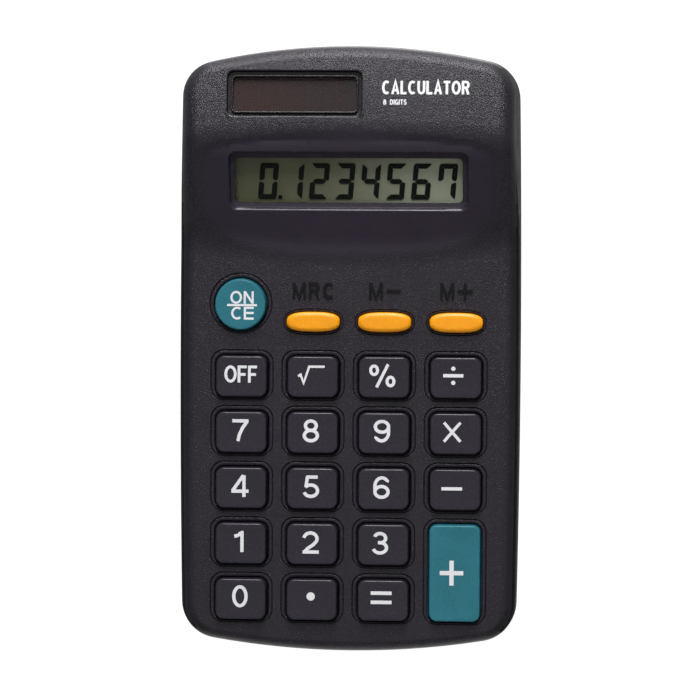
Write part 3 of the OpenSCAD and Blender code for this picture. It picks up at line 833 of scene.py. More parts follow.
PLASTIC = (0.0165, 0.0130, 0.0200)
FRONT = moulded("front_plastic", PLASTIC, 0.25, 0.10, 0.19, specular=0.33, painted=True)
# The steep sides' plastic is the front's plastic made darker: painted shade.
SHADED_SIDE = moulded("front_side_shaded_plastic", tinted(PLASTIC, 0.3), 0.6, 0.05, 0.19, specular=0.06, painted_glints=0.2)
# The raised labels are the cover's plastic made much darker: painted shade.
LABEL = moulded("label_shaded_plastic", tinted(PLASTIC, 0.12), 0.24, 0.01, 0.3, specular=0.22)
REAR = moulded("rear_plastic", tinted(PLASTIC, 0.9), 0.46, 0.08, 0.32, specular=0.27)

# Rings of a key's well as (distance outside the key, depth under the face): a fine groove, then a shelf,
# then the gap.
WELL_PROFILE = (
    (0.98, 0.0), (0.93, 0.02), (0.90, 0.10), (0.87, 0.30), (0.80, 0.36), (0.73, 0.30), (0.69, 0.17),
    (0.62, 0.14), (0.42, 0.15), (0.26, 0.17), (0.13, 0.23), (0.07, 0.42), (KEY_GAP, 1.0), (KEY_GAP, WALL),
)

# Rings of the display's recess as (top, bottom and side growth, corner radius, depth).
DISPLAY_PROFILE = (
    (0.28, 0.28, 0.28, 1.7, 0.0),
    (0.22, 0.22, 0.22, 1.65, 0.012),
    (0.04, 0.04, 0.04, 1.55, 0.17),
    (0.0, 0.0, 0.0, 1.5, 0.26),
    (-0.10, -0.05, -0.06, 1.45, 0.5),
    (-0.30, -0.13, -0.18, 1.40, 1.25),
    (-1.52, -0.66, -0.96, 1.05, 1.42),
    (-1.58, -0.74, -1.02, 1.0, 1.56),
    (-1.60, -0.76, -1.04, 1.0, 1.82),
)
# The same for the solar cell's pocket, which grows alike all round: the lip, a gap made dark partly by its
# depth and partly by painted shade, and a fine bead.
SOLAR_PROFILE = [
    (grow, grow, grow, corner, depth)
    for grow, corner, depth in (
        (0.24, 1.4, 0.0), (0.20, 1.4, 0.006), (0.04, 1.3, 0.055), (0.0, 1.25, 0.12), (-0.04, 1.2, 1.25),
        (-0.70, 0.9, 1.3), (-0.73, 0.85, 0.66), (-0.77, 0.8, 0.57), (-0.82, 0.8, 0.55), (-0.98, 0.75, 0.6),
        (-1.02, 0.7, 0.7), (-1.03, 0.7, 1.52), (0.45, 1.2, 1.52), (0.45, 1.2, WALL + 0.04),
    )
]
# Rings of a recess above this depth follow the face; deeper ones lie level in the recess's own frame.
LIP_DEPTH = 0.3
RIM_STEPS = 12
# The cover's walls lean in by this much at one millimetre above the seam, and faster than the height
# after that.
LEAN = 0.036
LEAN_POWER = 1.35
# Share of its distance from the key by which a well's ring comes closer: a small oval's all round, and
# another key's on its lower side.
OVAL_DRAW = 0.42
LOW_DRAW = 0.62
# Step inside the seam that the rear cover's lip stands in.
REBATE = 0.99
REBATE_TOP = 7.3
SEAM_EDGE = 0.18


def under(x, y):
    """Height of the front cover's inner face."""
    return skin(x, y) - WALL * (1 + 0.065 * ease((y - FOLD_Y) / 3))


def recess_ring(up, down, side, base_w, base_h, corner):
    """Rounded rectangle whose top, bottom and sides are grown by different amounts."""
    plan = rounded_box(base_w + 2 * side, base_h + up + down, corner, 9, 14)
    return plan + [0, (up - down) / 2]


def well_plan(key, grow):
    """A ring of a key's well. Wells lie closer to a key on its lower side, and all round the ovals."""
    beyond = max(grow - KEY_GAP, 0.0)
    if key in MEMORY_KEYS:
        return key_plan(key, grow - OVAL_DRAW * beyond)
    plan = key_plan(key, grow)
    top, low = plan[:, 1].max(), plan[:, 1].min()
    plan[:, 1] = top - (top - plan[:, 1]) * (1 - LOW_DRAW * beyond / (top - low))
    return plan


def on_skin(points, depth):
    """The points moved straight up or down to a depth under the face."""
    points = points.copy()
    points[:, 2] = skin_at(points) - depth
    return points


def shaded_pocket(x, y):
    """1 on the walls of the solar cell's pocket, less on the bead at its foot, 0 elsewhere: where the
    cover's colour is darkened as painted shade.
    """
    beyond = np.maximum(np.abs(x - SOLAR_X) - SOLAR_W / 2, np.abs(y - SOLAR_Y) - SOLAR_H / 2)
    return np.where(beyond < -0.71, 0.5, np.where(beyond < 0.08, 1.0, 0.0))


def shaded_side(x, y):
    """1 on the cover's steep left and right sides, falling to 0 over the rim and towards the ends: where
    those sides get a darker colour as painted shade.
    """
    apart = np.hypot(x[:, None] - EDGE[:, 0], y[:, None] - EDGE[:, 1])
    facing = np.abs(INWARD[apart.argmin(1), 0])
    return (1 - ease((apart.min(1) - 0.9) / 1.6)) * ease((facing - 0.2) / 0.4)


def cover_walls(shape):
    """Adds the cover's walls and rounded rim. Returns the inner roof's edge and the face's."""
    inner = outline(WALL)
    roof = shape.ring(inner, under(inner[:, 0], inner[:, 1]))
    loops = [roof, shape.ring(inner, REBATE_TOP)]
    loops += [shape.ring(outline(REBATE), z) for z in (REBATE_TOP, SEAM_Z)]
    loops.append(shape.ring(outline(SEAM_EDGE), SEAM_Z))
    loops.append(shape.ring(outline(0), SEAM_Z + SEAM_EDGE))
    rim_w = RIM_R + (SIDE_RIM - RIM_R) * INWARD[:, 0] ** 4
    for k in range(RIM_STEPS + 1):
        turn = math.pi / 2 * k / RIM_STEPS
        inset, drop = rim_w * (1 - math.cos(turn)), RIM_R * (1 - math.sin(turn))
        plan = drawn_in(inset)
        plan = drawn_in(inset + LEAN * (skin_at(plan) - drop - SEAM_Z) ** LEAN_POWER)
        loops.append(shape.ring(plan, skin_at(plan) - drop))
    return roof, shape.sweep(loops)


def cover_openings(shape):
    """Adds the keys' wells and the two recesses. Returns their rims on the face and on the inner roof."""
    tops, bottoms = [], []
    for key in KEYS:
        well = [shape.ring(well_plan(key, grow), KEYPAD_Z - drop) for grow, drop in WELL_PROFILE]
        shape.sweep(well)
        tops.append(well[0])
        bottoms.append(well[-1])
    for slant, w, h, profile in (
        (DISPLAY, DISPLAY_W, DISPLAY_H, DISPLAY_PROFILE),
        (SOLAR, SOLAR_W, SOLAR_H, SOLAR_PROFILE),
    ):
        recess = []
        for up, down, side, corner, depth in profile:
            ring = slant.place(recess_ring(up, down, side, w, h, corner), -depth)
            recess.append(shape.loop(on_skin(ring, depth) if depth < LIP_DEPTH else ring))
        shape.sweep(recess)
        tops.append(recess[0])
        bottoms.append(recess[-1])
    return tops, bottoms


def cover_faces(shape, face_edge, roof, tops, bottoms):
    """Adds the outer face, finer where the dish's edge is, and the inner roof."""
    plan_of = lambda ring: np.array([shape.points[n][:2] for n in ring])
    holes = [plan_of(ring) for ring in tops]
    coarse = scattered(plan_of(face_edge), holes, 0.95, 0.4)
    fine = scattered(plan_of(face_edge), holes, 0.5, 0.3)
    grid = np.vstack([coarse[~dish_edge(coarse)], fine[dish_edge(fine)]])
    loose = shape.ring(grid, skin_at(grid))
    shape.fill(face_edge, tops, loose)
    for number in [*face_edge, *loose, *[n for ring in tops for n in ring]]:
        x, y, _ = shape.points[number]
        shape.normals[number] = skin_normals(np.array([x]), np.array([y]))[0]
    inside = scattered(plan_of(roof), [plan_of(ring) for ring in bottoms], 2.4, 0.8)
    shape.fill(roof, bottoms, shape.ring(inside, under(inside[:, 0], inside[:, 1])), up=False)


def front_cover():
    """The front cover, and the maps its material reads. Its steep sides have a material of their own, a
    darker copy of its plastic as painted shade.
    """
    shape = Shape()
    roof, face_edge = cover_walls(shape)
    tops, bottoms = cover_openings(shape)
    cover_faces(shape, face_edge, roof, tops, bottoms)
    piece = drop_unused(shape).build("front_shell", "case", FRONT, "case_front", ["front_cover"])
    paint(piece.data, "dish", dish)
    paint(piece.data, "pocket", shaded_pocket)
    paint(piece.data, "side", shaded_side)
    piece.data.materials.append(SHADED_SIDE)
    centres = np.array([face.center for face in piece.data.polygons]) / MM
    for face, amount in zip(piece.data.polygons, shaded_side(centres[:, 0], centres[:, 1])):
        if amount > 0.99 and face.normal[0] * face.center[0] > 0:
            face.material_index = 1


def paint(mesh, name, amount):
    """Stores amount(x, y), in millimetres, at each point for a material to read."""
    co = np.empty(len(mesh.vertices) * 3)
    mesh.vertices.foreach_get("co", co)
    co = co.reshape(-1, 3) / MM
    layer = mesh.attributes.new(name, "FLOAT", "POINT")
    layer.data.foreach_set("value", amount(co[:, 0], co[:, 1]).astype(np.float32))


LABEL_Y = 11.05
LABEL_H = 3.0
LABEL_PEN = 0.46
LABEL_RISE = 0.42


def raised_labels():
    """The memory labels, moulded proud of the keypad, in a darker copy of the cover's plastic as painted
    shade.
    """
    for key, text in zip(MEMORY_KEYS, (["M", "R", "C"], ["M", "minus"], ["M", "plus"])):
        middle = key_size(key)[0]
        squeeze = 0.86 if len(text) == 3 else 0.92
        quads = lettered(text, LABEL_H, LABEL_PEN, 0.22, squeeze)
        outlines = [quad + [middle[0], LABEL_Y] for quad in quads]
        shape = Shape()
        plated(shape, outlines, level(KEYPAD_Z + LABEL_RISE), level(KEYPAD_Z - 0.1))
        piece = shape.build("label_" + key[4:], "case", LABEL, "case_front")
        soften(piece, 0.06)


def soften(piece, width):
    """Rounds a piece's crisp edges."""
    bevel = piece.modifiers.new("edges", "BEVEL")
    bevel.width = width * MM
    bevel.segments = 2
    bevel.limit_method = "ANGLE"
    bevel.angle_limit = math.radians(40)
    bevel.use_clamp_overlap = True


# ---- Keys ----

KEY_BLACK = moulded("key_plastic", (0.0175, 0.0135, 0.0225), 0.28, 0.01, 0.4, specular=0.32)
KEY_TEAL = moulded("teal_plastic", (0.020, 0.145, 0.188), 0.38, 0.008, 0.4, specular=0.25, painted_glints=0.1)
KEY_ORANGE = moulded("orange_plastic", (0.94, 0.34, 0.003), 0.34, 0.006, 0.4, specular=0.35, painted_glints=0.1)
INK = (0.78, 0.78, 0.81)
WHITE_INK = filmed("white_ink", tinted(INK, 0.93), INK, 0.5, (0.42, 0.58), 0.004)

EDGE_W = 0.25
EDGE_H = 0.22
DRAFT = 0.31
FLANGE_H = 0.9
OVAL_DRAFT = 0.04
OVAL_EDGE_W = 0.9
OVAL_EDGE_H = 0.55
SAG = 0.09
SAG_REACH = 2.2
LEGEND_LIFT = 0.025
LEGEND_ROOT = 0.15
TEAL_KEYS = ("key_on_ce", "key_plus")

# Each key's legend: glyphs, cap height and pen width in millimetres, side squeeze, and shift from the
# key's centre.
DIGIT_PEN = 0.62
LEGENDS = {
    "key_off": (["O", "F", "F"], 3.17, 0.52, 0.775, (-0.1, 0.43)),
    "key_root": (["root"], 3.5, 0.44, 1.01, (-0.27, 0.41)),
    "key_percent": (["%"], 4.3, 0.56, 1.03, (-0.34, 0.31)),
    "key_7": (["7"], 4.1, DIGIT_PEN, 1.03, (-0.16, 0.37)),
    "key_8": (["8"], 4.35, DIGIT_PEN, 0.92, (-0.29, 0.36)),
    "key_9": (["9"], 4.25, DIGIT_PEN, 0.97, (-0.35, 0.43)),
    "key_multiply": (["X"], 3.55, 0.54, 1.27, (-0.6, 0.37)),
    "key_4": (["4"], 4.05, DIGIT_PEN, 1.02, (-0.18, 0.33)),
    "key_5": (["5"], 4.27, DIGIT_PEN, 0.96, (-0.19, 0.35)),
    "key_6": (["6"], 4.25, DIGIT_PEN, 0.965, (-0.36, 0.33)),
    "key_minus": (["minus"], 4.05, 0.6, 1.0, (-0.61, 0.22)),
    "key_1": (["1"], 3.96, DIGIT_PEN, 0.87, (-0.35, 0.36)),
    "key_2": (["2"], 4.22, DIGIT_PEN, 1.0, (-0.26, 0.34)),
    "key_3": (["3"], 4.29, DIGIT_PEN, 0.955, (-0.54, 0.34)),
    "key_0": (["0"], 4.18, DIGIT_PEN, 0.91, (-0.11, 0.51)),
    "key_equals": (["equals"], 4.1, 0.66, 1.0, (-0.31, 0.56)),
    "key_plus": (["plus"], 4.66, 0.8, 0.94, (-0.54, 0.12)),
}


def key_top(key):
    """Function giving the height of a key's face at plan points."""
    middle, w, h = key_size(key)
    peak = box(key)[1][2]

    def height(plan):
        local = np.abs(plan - middle)
        if key == "key_on_ce":
            inside = w / 2 - np.hypot(local[:, 0], local[:, 1])
        else:
            inside = np.minimum(w / 2 - local[:, 0], h / 2 - local[:, 1])
        return peak - SAG * ease((inside - EDGE_W) / SAG_REACH)

    return height


def key_cap(key, material):
    """A key with its foot flange, drawn-in walls, rounded edge and shallow dip."""
    shape = Shape()
    low, high = box(key)
    foot, peak = low[2], high[2]
    oval = key in MEMORY_KEYS
    edge_w, edge_h = (OVAL_EDGE_W, OVAL_EDGE_H) if oval else (EDGE_W, EDGE_H)
    sag = 0.0 if oval else SAG
    sides = ((FLANGE, foot), (FLANGE, foot + FLANGE_H), (0.0, foot + FLANGE_H))
    loops = [shape.ring(key_plan(key, grow), z) for grow, z in sides]
    for k in range(10):
        turn = math.pi / 2 * k / 9
        grow = -(OVAL_DRAFT if oval else DRAFT) - edge_w * (1 - math.cos(turn))
        loops.append(shape.ring(key_plan(key, grow), peak - edge_h * (1 - math.sin(turn))))
    reach = min(key_size(key)[1:]) / 2 - edge_w - DRAFT
    for share in (0.2, 0.4, 0.6, 0.8):
        inset = reach * share
        drop = sag * float(ease(inset / SAG_REACH))
        loops.append(shape.ring(key_plan(key, -DRAFT - edge_w - inset), peak - drop))
    shape.close(loops)
    shape.build(key + "_cap", key, material, replaces=[key], sharp=60)


def discs(places, radius):
    """Round outlines at places."""
    return [circle(place, radius, 40) for place in places]


def legend(key, outlines):
    """White lettering on a key's face."""
    shape = Shape()
    height = key_top(key)
    middle = key_size(key)[0]
    moved = [ring + middle for ring in outlines]
    plated(shape, moved, lifted(height, LEGEND_LIFT), lifted(height, -LEGEND_ROOT))
    shape.build(key + "_legend", key, WHITE_INK, "key_teal" if key in TEAL_KEYS else "key_black")


def keys():
    for key in KEYS:
        key_cap(key, KEY_TEAL if key in TEAL_KEYS else KEY_ORANGE if key in MEMORY_KEYS else KEY_BLACK)
        if key in LEGENDS:
            glyphs, height, pen, squeeze, shift = LEGENDS[key]
            legend(key, [quad + shift for quad in lettered(glyphs, height, pen, 0.1, squeeze)])
    bar = pen_quads(run((-2.35, 0.44), (1.41, 0.44)), 0.62)
    legend("key_divide", bar + discs([(-0.47, 1.76), (-0.47, -0.88)], 0.4))
    legend("key_point", discs([(-0.17, 0.64)], 0.78))
    words = [quad + [0.33, 1.32] for quad in lettered("ON", 2.35, 0.4, 0.14, 1.045)]
    words += [quad + [0.4, -1.62] for quad in lettered("CE", 2.35, 0.4, 0.07, 1.17)]
    words += pen_quads(run((-2.47, -0.12), (3.13, -0.12)), 0.40)
    legend("key_on_ce", words)


# ---- Display ----

DIGIT_W = 3.46
DIGIT_H = 7.0
DIGIT_PITCH = 4.75
DIGIT_STROKE = 0.96
DIGIT_LEAN = math.tan(math.radians(5.5))
DIGIT_FIRST = -15.1
DIGIT_V = -1.2
GLASS_W = 47.0
# Heights over the face, as (top, bottom), of what lies in the display's frame.
WINDOW_AT = (-1.86, -2.6)
FRONT_GLASS_AT = (-2.7, -3.42)
DIGITS_AT = (-3.46, -3.52)
REAR_GLASS_AT = (-3.62, -4.2)
# The same in the solar cell's frame.
PANE_AT = (-0.78, -1.5)
LINES_AT = (-1.575, -1.75)
CELL_AT = (-1.6, -2.5)
SEGMENTS_OF = {
    "0": "abcdef",
    "1": "bc",
    "2": "abged",
    "3": "abgcd",
    "4": "fgbc",
    "5": "afgcd",
    "6": "afgedc",
    "7": "fabc",
}


def segments():
    """The seven bars of a digit, as plan outlines about its centre."""
    w, h, s = DIGIT_W / 2, DIGIT_H / 2, DIGIT_STROKE
    gap, waist, nick = 0.045, 0.2, 0.2
    mid = s / 2
    bars = {
        "a": [
            (-w + nick + gap, h),
            (w - nick - gap, h),
            (w - nick, h - nick),
            (w - s - gap, h - s),
            (-w + s + gap, h - s),
            (-w + nick, h - nick),
        ],
        "b": [
            (w, h - nick - gap),
            (w, waist + nick),
            (w - nick, waist),
            (w - s * 0.55, waist),
            (w - s, mid + gap),
            (w - s, h - s - gap),
            (w - nick, h - nick - gap),
        ],
        "g": [
            (-w + s * 0.45 + gap, 0),
            (-w + s + gap, -mid),
            (w - s - gap, -mid),
            (w - s * 0.45 - gap, 0),
            (w - s - gap, mid),
            (-w + s + gap, mid),
        ],
    }
    flip = lambda bar, sx, sy: [(sx * x, sy * y) for x, y in bar]
    bars["c"] = flip(bars["b"], 1, -1)
    bars["d"] = flip(bars["a"], 1, -1)
    bars["e"] = flip(bars["b"], -1, -1)
    bars["f"] = flip(bars["b"], -1, 1)
    return {name: np.array(bar) for name, bar in bars.items()}


def slab(name, slant, plan, heights, material, slot, node, edge=0.12):
    """Sheet of a plan outline with chamfered edges, lying in a slanted face's frame."""
    shape = Shape()
    top, bottom = heights
    middle = (plan.max(0) + plan.min(0)) / 2
    half = (plan.max(0) - plan.min(0)) / 2
    small = (plan - middle) * (1 - edge / half) + middle
    loops = [(small, bottom), (plan, bottom + edge), (plan, top - edge), (small, top)]
    rings = [shape.loop(slant.place(ring, w)) for ring, w in loops]
    shape.close(rings)
    shape.build(name, "case", material, slot, [node], sharp=30)


def lcd_olive_painted_light():
    """Grey-green of a passive display, lighter towards the right as painted light, and pale enough to stand
    for the light that the recess's walls shade off it.
    """
    g = Graph("lcd_olive_painted_light")
    # Painted light: the colour lightens from left to right, and its pale end colours make up for the
    # recess's shade.
    along = g.spread(g.axis("X"), 0.0, 1.0, -8.0 * MM, 16.0 * MM)
    cloud = g.noise(14.0, 2.0)
    lit = g.maths("ADD", along, g.spread(cloud, -0.12, 0.12))
    base = g.mix(lit, (0.185, 0.194, 0.106), (0.600, 0.650, 0.480))
    rough = g.spread(g.noise(0.25, 2.0), 0.45, 0.6)
    return g.finish(base_color=base, roughness=rough, normal=g.bump(g.noise(0.2, 2.0), 0.003))


def lcd_ink():
    g = Graph("lcd_ink")
    base = g.mix(g.noise(0.8, 2.0), (0.003, 0.006, 0.004), (0.006, 0.010, 0.007))
    return g.finish(base_color=base, roughness=0.6, specular_ior_level=0.1)


def display():
    """Window, both glasses of the display and the digits between them."""
    window = rounded_box(DISPLAY_W + 1.4, DISPLAY_H + 0.6, 1.0)
    window_clear = clear("window_clear", (0.03, 0.035, 0.035), 0.05)
    slab("window_pane", DISPLAY, window, WINDOW_AT, window_clear, "window", "display_window")
    glass = rounded_box(GLASS_W, 11.7, 0.3) + [0, -0.05]
    lcd_clear = clear("lcd_clear", (0.05, 0.06, 0.04), 0.03, 0.1)
    slab("lcd_front", DISPLAY, glass, FRONT_GLASS_AT, lcd_clear, "lcd_glass", "lcd_front_glass")
    back = rounded_box(GLASS_W, 13.3, 0.3) + [0, -0.85]
    slab("lcd_back", DISPLAY, back, REAR_GLASS_AT, lcd_olive_painted_light(), "lcd_glass", "lcd_rear_glass")
    bars = segments()
    outlines = []
    for place, digit in enumerate("01234567"):
        for name in SEGMENTS_OF[digit]:
            outlines.append(bars[name] + [DIGIT_FIRST + DIGIT_PITCH * place, 0])
    point = [DIGIT_FIRST + DIGIT_PITCH / 2 + 0.06, -DIGIT_H / 2 + 0.36]
    outlines.append(rounded_box(0.76, 0.76, 0.2) + point)
    lean = lambda bar: np.column_stack([bar[:, 1] * DIGIT_LEAN, np.full(len(bar), DIGIT_V)])
    shape = Shape()
    plated(shape, [bar + lean(bar) for bar in outlines], *map(DISPLAY.at, DIGITS_AT))
    shape.build("lcd_digits", "case", lcd_ink(), "lcd_glass")


def solar():
    """Pane and film of the solar cell, with the silver lines between its strips."""
    pane = rounded_box(SOLAR_W - 2.08, SOLAR_H - 2.08, 0.66)
    solar_clear = clear("solar_clear", (0.03, 0.02, 0.02), 0.06)
    slab("solar_pane", SOLAR, pane, PANE_AT, solar_clear, "solar_window", "solar_window", 0.08)
    g = Graph("solar_film")
    across = g.axis("X")
    red = g.spread(across, 1.0, 0.0, -22.0 * MM, -4.0 * MM)
    base = g.mix(red, (0.019, 0.0105, 0.010), (0.034, 0.012, 0.012))
    base = g.mix(g.spread(g.noise(5.0, 3.0), 0.0, 0.35), base, (0.018, 0.013, 0.013))
    film = g.finish(
        base_color=base,
        roughness=g.spread(g.noise(2.0), 0.42, 0.5),
        normal=g.bump(g.noise(0.3), 0.002),
        specular_ior_level=0.2,
    )
    cell = rounded_box(SOLAR_W + 0.4, SOLAR_H + 0.4, 0.2)
    slab("solar_film_cell", SOLAR, cell, CELL_AT, film, "solar_cell", "solar_cell", 0.08)
    lines = Shape()
    edges = np.linspace(-SOLAR_W / 2 - 0.4, SOLAR_W / 2 + 0.4, 6)[1:-1]
    outlines = [rounded_box(0.05, SOLAR_H - 1.2, 0.02, 3, 2) + [x, 0] for x in edges]
    plated(lines, outlines, *map(SOLAR.at, LINES_AT))
    lines.build("solar_lines", "case", metal("solar_silver", (0.075, 0.035, 0.032), 0.5), "solar_cell")


def maker_block():
    """Plain wording where such calculators carry a name."""
    shape = Shape()
    rows = [
        ("CALCULATOR", 2.47, 0.46, (14.25, 48.48), 0.15, 0.675),
        ("8 DIGITS", 0.95, 0.19, (8.6, 45.8), 0.16, 0.69),
    ]
    outlines = []
    for text, height, pen, place, spacing, squeeze in rows:
        outlines += [quad + place for quad in lettered(text, height, pen, spacing, squeeze)]
    plated(shape, outlines, lifted(skin_at, 0.03), lifted(skin_at, -0.12))
    shape.build("plain_wording", "case", WHITE_INK, "case_front")


# ---- Turned, swept and cut shapes ----


def basis(direction):
    """A unit axis and two directions square to it and to each other, right-handed."""
    axis = np.array(direction, float) / np.linalg.norm(direction)
    side = np.cross(axis, (0.0, 0.0, 1.0) if abs(axis[2]) < 0.9 else (1.0, 0.0, 0.0))
    side /= np.linalg.norm(side)
    return axis, side, np.cross(axis, side)


def set_in(origin, direction):
    """Function that puts points of a local frame, whose Z runs along direction, into the part's frame."""
    axis, side, other = basis(direction)
    return lambda points: np.asarray(origin, float) + points @ np.array([side, other, axis])


def lathe(shape, profile, count=48):
    """Turns (radius, height) pairs about Z and closes both ends."""
    rings = [shape.ring(circle((0, 0), max(r, 0.02), count), z) for r, z in profile]
    shape.close(rings)


def turned(shape, profile, count, origin, direction):
    """Adds a turned part whose axis runs from origin in direction."""
    local = Shape()
    lathe(local, profile, count)
    shape.add(local, set_in(origin, direction))


def tube(shape, path, radius, sides=12):
    """Round tube along points, closed at its ends."""
    path = np.asarray(path, float)
    heads = np.gradient(path, axis=0)
    heads /= np.linalg.norm(heads, axis=1)[:, None]
    side = basis(heads[0])[1]
    turn = np.linspace(0, 2 * math.pi, sides, endpoint=False)[:, None]
    rings = []
    for point, head in zip(path, heads):
        side = side - head * np.dot(side, head)
        side /= np.linalg.norm(side)
        spoke = np.cos(turn) * side + np.sin(turn) * np.cross(head, side)
        rings.append(shape.loop(point + radius * spoke))
    shape.close(rings)


def rounded_route(route, bend):
    """The route with each corner rounded over bend millimetres of its legs."""
    route = np.asarray(route, float)
    path = [route[0]]
    share = np.linspace(0, 1, 7)[:, None]
    for before, corner, after in zip(route, route[1:], route[2:]):
        back, ahead = before - corner, after - corner
        start = corner + back * min(0.48, bend / np.linalg.norm(back))
        end = corner + ahead * min(0.48, bend / np.linalg.norm(ahead))
        path.extend((1 - share) ** 2 * start + 2 * share * (1 - share) * corner + share**2 * end)
    path.append(route[-1])
    return np.array(path)


def sheet(shape, outer, holes, low, high):
    """Flat sheet with round or other holes, its faces triangulated."""
    rims = [[shape.ring(ring, z) for z in (low, high)] for ring in (outer, *holes)]
    shape.bridge(*rims[0])
    for bottom, top in rims[1:]:
        shape.bridge(top, bottom)
    shape.fill(rims[0][1], [rim[1] for rim in rims[1:]])
    shape.fill(rims[0][0], [rim[0] for rim in rims[1:]], up=False)


def block(shape, xs, ys, zs, edge=0.12):
    """Block with chamfered edges all round."""
    (x0, x1), (y0, y1), (z0, z1) = xs, ys, zs
    plan = lambda e: [(x0 + e, y0 + e), (x1 - e, y0 + e), (x1 - e, y1 - e), (x0 + e, y1 - e)]
    levels = ((edge, z0), (0, z0 + edge), (0, z1 - edge), (edge, z1))
    shape.close([shape.ring(plan(e), z) for e, z in levels])


def carve(piece, operation, tools):
    """Joins the piece with tools, or cuts them from it, and discards them."""
    for tool in tools:
        bpy.context.scene.collection.objects.link(tool)
        step = piece.modifiers.new("carve", "BOOLEAN")
        step.operation = operation
        step.solver = "EXACT"
        step.object = tool
    if not piece.users_collection:
        bpy.context.scene.collection.objects.link(piece)
    graph = bpy.context.evaluated_depsgraph_get()
    graph.update()
    mesh = bpy.data.meshes.new_from_object(piece.evaluated_get(graph))
    piece.modifiers.clear()
    piece.data = mesh
    for tool in tools:
        bpy.data.objects.remove(tool)


def crisp(piece):
    """Keeps a carved piece's edges crisp and the rest smooth."""
    piece.data.shade_smooth()
    piece.data.set_sharp_from_angle(angle=math.radians(35))
    return piece


def tool_block(xs, ys, zs, edge=0.0):
    """Block that is cut out or joined on."""
    shape = Shape()
    block(shape, xs, ys, zs, max(edge, 0.001))
    return shape.solid("tool")


def tool_lathe(place, profile):
    """Turned cutter or boss standing at place."""
    shape = Shape()
    lathe(shape, profile, 40)
    shape.points = [tuple(np.add(p, place)) for p in shape.points]
    return shape.solid("tool")


# ---- Rear cover and battery door ----

REAR_RIM = 2.4
LIP_OUT = 1.09
LIP_TOP = 7.2
DOOR_HALF_W = 25.7
DOOR_Y = 37.2
DOOR_END_Z = 4.5
DOOR_GAP = 0.15
MOUTH = 0.2
RAIL_Z = (0.95, 1.65)
GROOVE_Z = (0.8, 1.9)
RAIL_REACH = 0.7
BEYOND = 4.0
CASE_SCREWS = [(-13.32, -52.2), (13.32, -52.2), (-26.8, 15.8), (26.8, 15.8)]
HEAD_SEAT = 2.2
BOARD_SCREWS = [(sx * 13.32, y) for sx in (-1, 1) for y in (-10.27, -31.11)] + [(0.0, 10.5)]
# What stands on the back plate is rooted a little inside it.
ROOT_Z = WALL - 0.1
# Walls of the battery bay as (x, y and z spans, chamfer): at the cell's two ends and along it.
BAY_WALLS = (
    ((25.8, 27.55), (41.4, 49), (ROOT_Z, 13.5), 0.2),
    ((-29.4, -28.45), (41.4, 47), (ROOT_Z, 13.5), 0.2),
    ((-29, 28), (36.2, 37.1), (ROOT_Z, 9.0), 0.15),
)
# Profile of a case screw's hole as (radius, height): a flared mouth, the head's bore and the shank's.
SCREW_BORE = [(2.0, -0.2), (1.75, 0.15), (1.75, HEAD_SEAT), (1.0, HEAD_SEAT), (1.0, SEAM_Z + 2)]
GRIP_BARS = 6
GRIP_Y = 44.9
GRIP_PITCH = 1.3
ARROW = np.array([(-2.4, 40.6), (2.4, 40.6), (0.0, 43.0)])


def rear_base(name):
    """The rear cover's shell, before anything is cut from it."""
    shape = Shape()
    rings = []
    for k in range(9, -1, -1):
        turn = math.pi / 2 * k / 9
        rings.append(shape.ring(outline(REAR_RIM * (1 - math.cos(turn))), REAR_RIM * (1 - math.sin(turn))))
    rings.append(shape.ring(outline(0), SEAM_Z - SEAM_EDGE))
    rings.append(shape.ring(outline(SEAM_EDGE), SEAM_Z))
    rings.append(shape.ring(outline(WALL), SEAM_Z))
    rings.append(shape.ring(outline(WALL), WALL))
    shape.close(rings)
    return shape.solid(name, REAR)


def door_room(gap, flare):
    """The door's room, larger by gap, and wider by flare where it opens on the back."""
    shape = Shape()
    rings = []
    for z, spread in ((-MOUTH, 2 * flare), (MOUTH, 0.0), (DOOR_END_Z + gap, 0.0)):
        x, low, high = DOOR_HALF_W + gap + spread, DOOR_Y - gap - spread, BODY_L / 2 + BEYOND
        rings.append(shape.ring([(-x, low), (x, low), (x, high), (-x, high)], z))
    shape.close(rings)
    return shape.solid("tool")


def seam_lip():
    """The tongue that stands in the front cover's rebate."""
    shape = Shape()
    low, high = SEAM_Z - 0.5, LIP_TOP
    section = ((LIP_OUT, low), (LIP_OUT, high - 0.2), (LIP_OUT + 0.2, high), (WALL, high), (WALL, low))
    rings = [shape.ring(outline(inset), z) for inset, z in section]
    shape.sweep([*rings, rings[0]])
    return shape.solid("tool")


def rear_cover():
    """The rear cover, with its bosses, ribs, screw holes and the door's opening."""
    piece = rear_base("rear_shell")
    bosses = []
    for x, y in CASE_SCREWS:
        boss_r = 2.05 if y < 0 else 2.5
        bosses.append(tool_lathe((x, y, 0), [(boss_r, ROOT_Z), (boss_r, SEAM_Z - 0.1)]))
    walls = [tool_block(*spans) for spans in BAY_WALLS]
    ribs = [tool_block((x - 0.5, x + 0.5), (-30, 10), (ROOT_Z, 5.0), 0.12) for x in (-16, 16)]
    carve(piece, "UNION", [*bosses, *walls, *ribs, seam_lip()])
    cuts = [door_room(0, MOUTH)]
    for sx in (-1, 1):
        x = sx * (DOOR_HALF_W + RAIL_REACH / 2)
        cuts.append(tool_block((x - RAIL_REACH, x + RAIL_REACH), (DOOR_Y, BODY_L / 2 + BEYOND), GROOVE_Z))
        cuts.append(tool_block((sx * 27 - 1.7, sx * 27 + 1.7), (35.2, 38.1), (8.2, 10.5)))
    cuts.append(tool_block((-DOOR_HALF_W + 2, DOOR_HALF_W - 2), (DOOR_Y - 1.5, DOOR_Y + 1), GROOVE_Z))
    cuts += [tool_lathe((x, y, 0), SCREW_BORE) for x, y in CASE_SCREWS]
    carve(piece, "DIFFERENCE", cuts)
    adopt(crisp(piece), "case", ["rear_cover"])


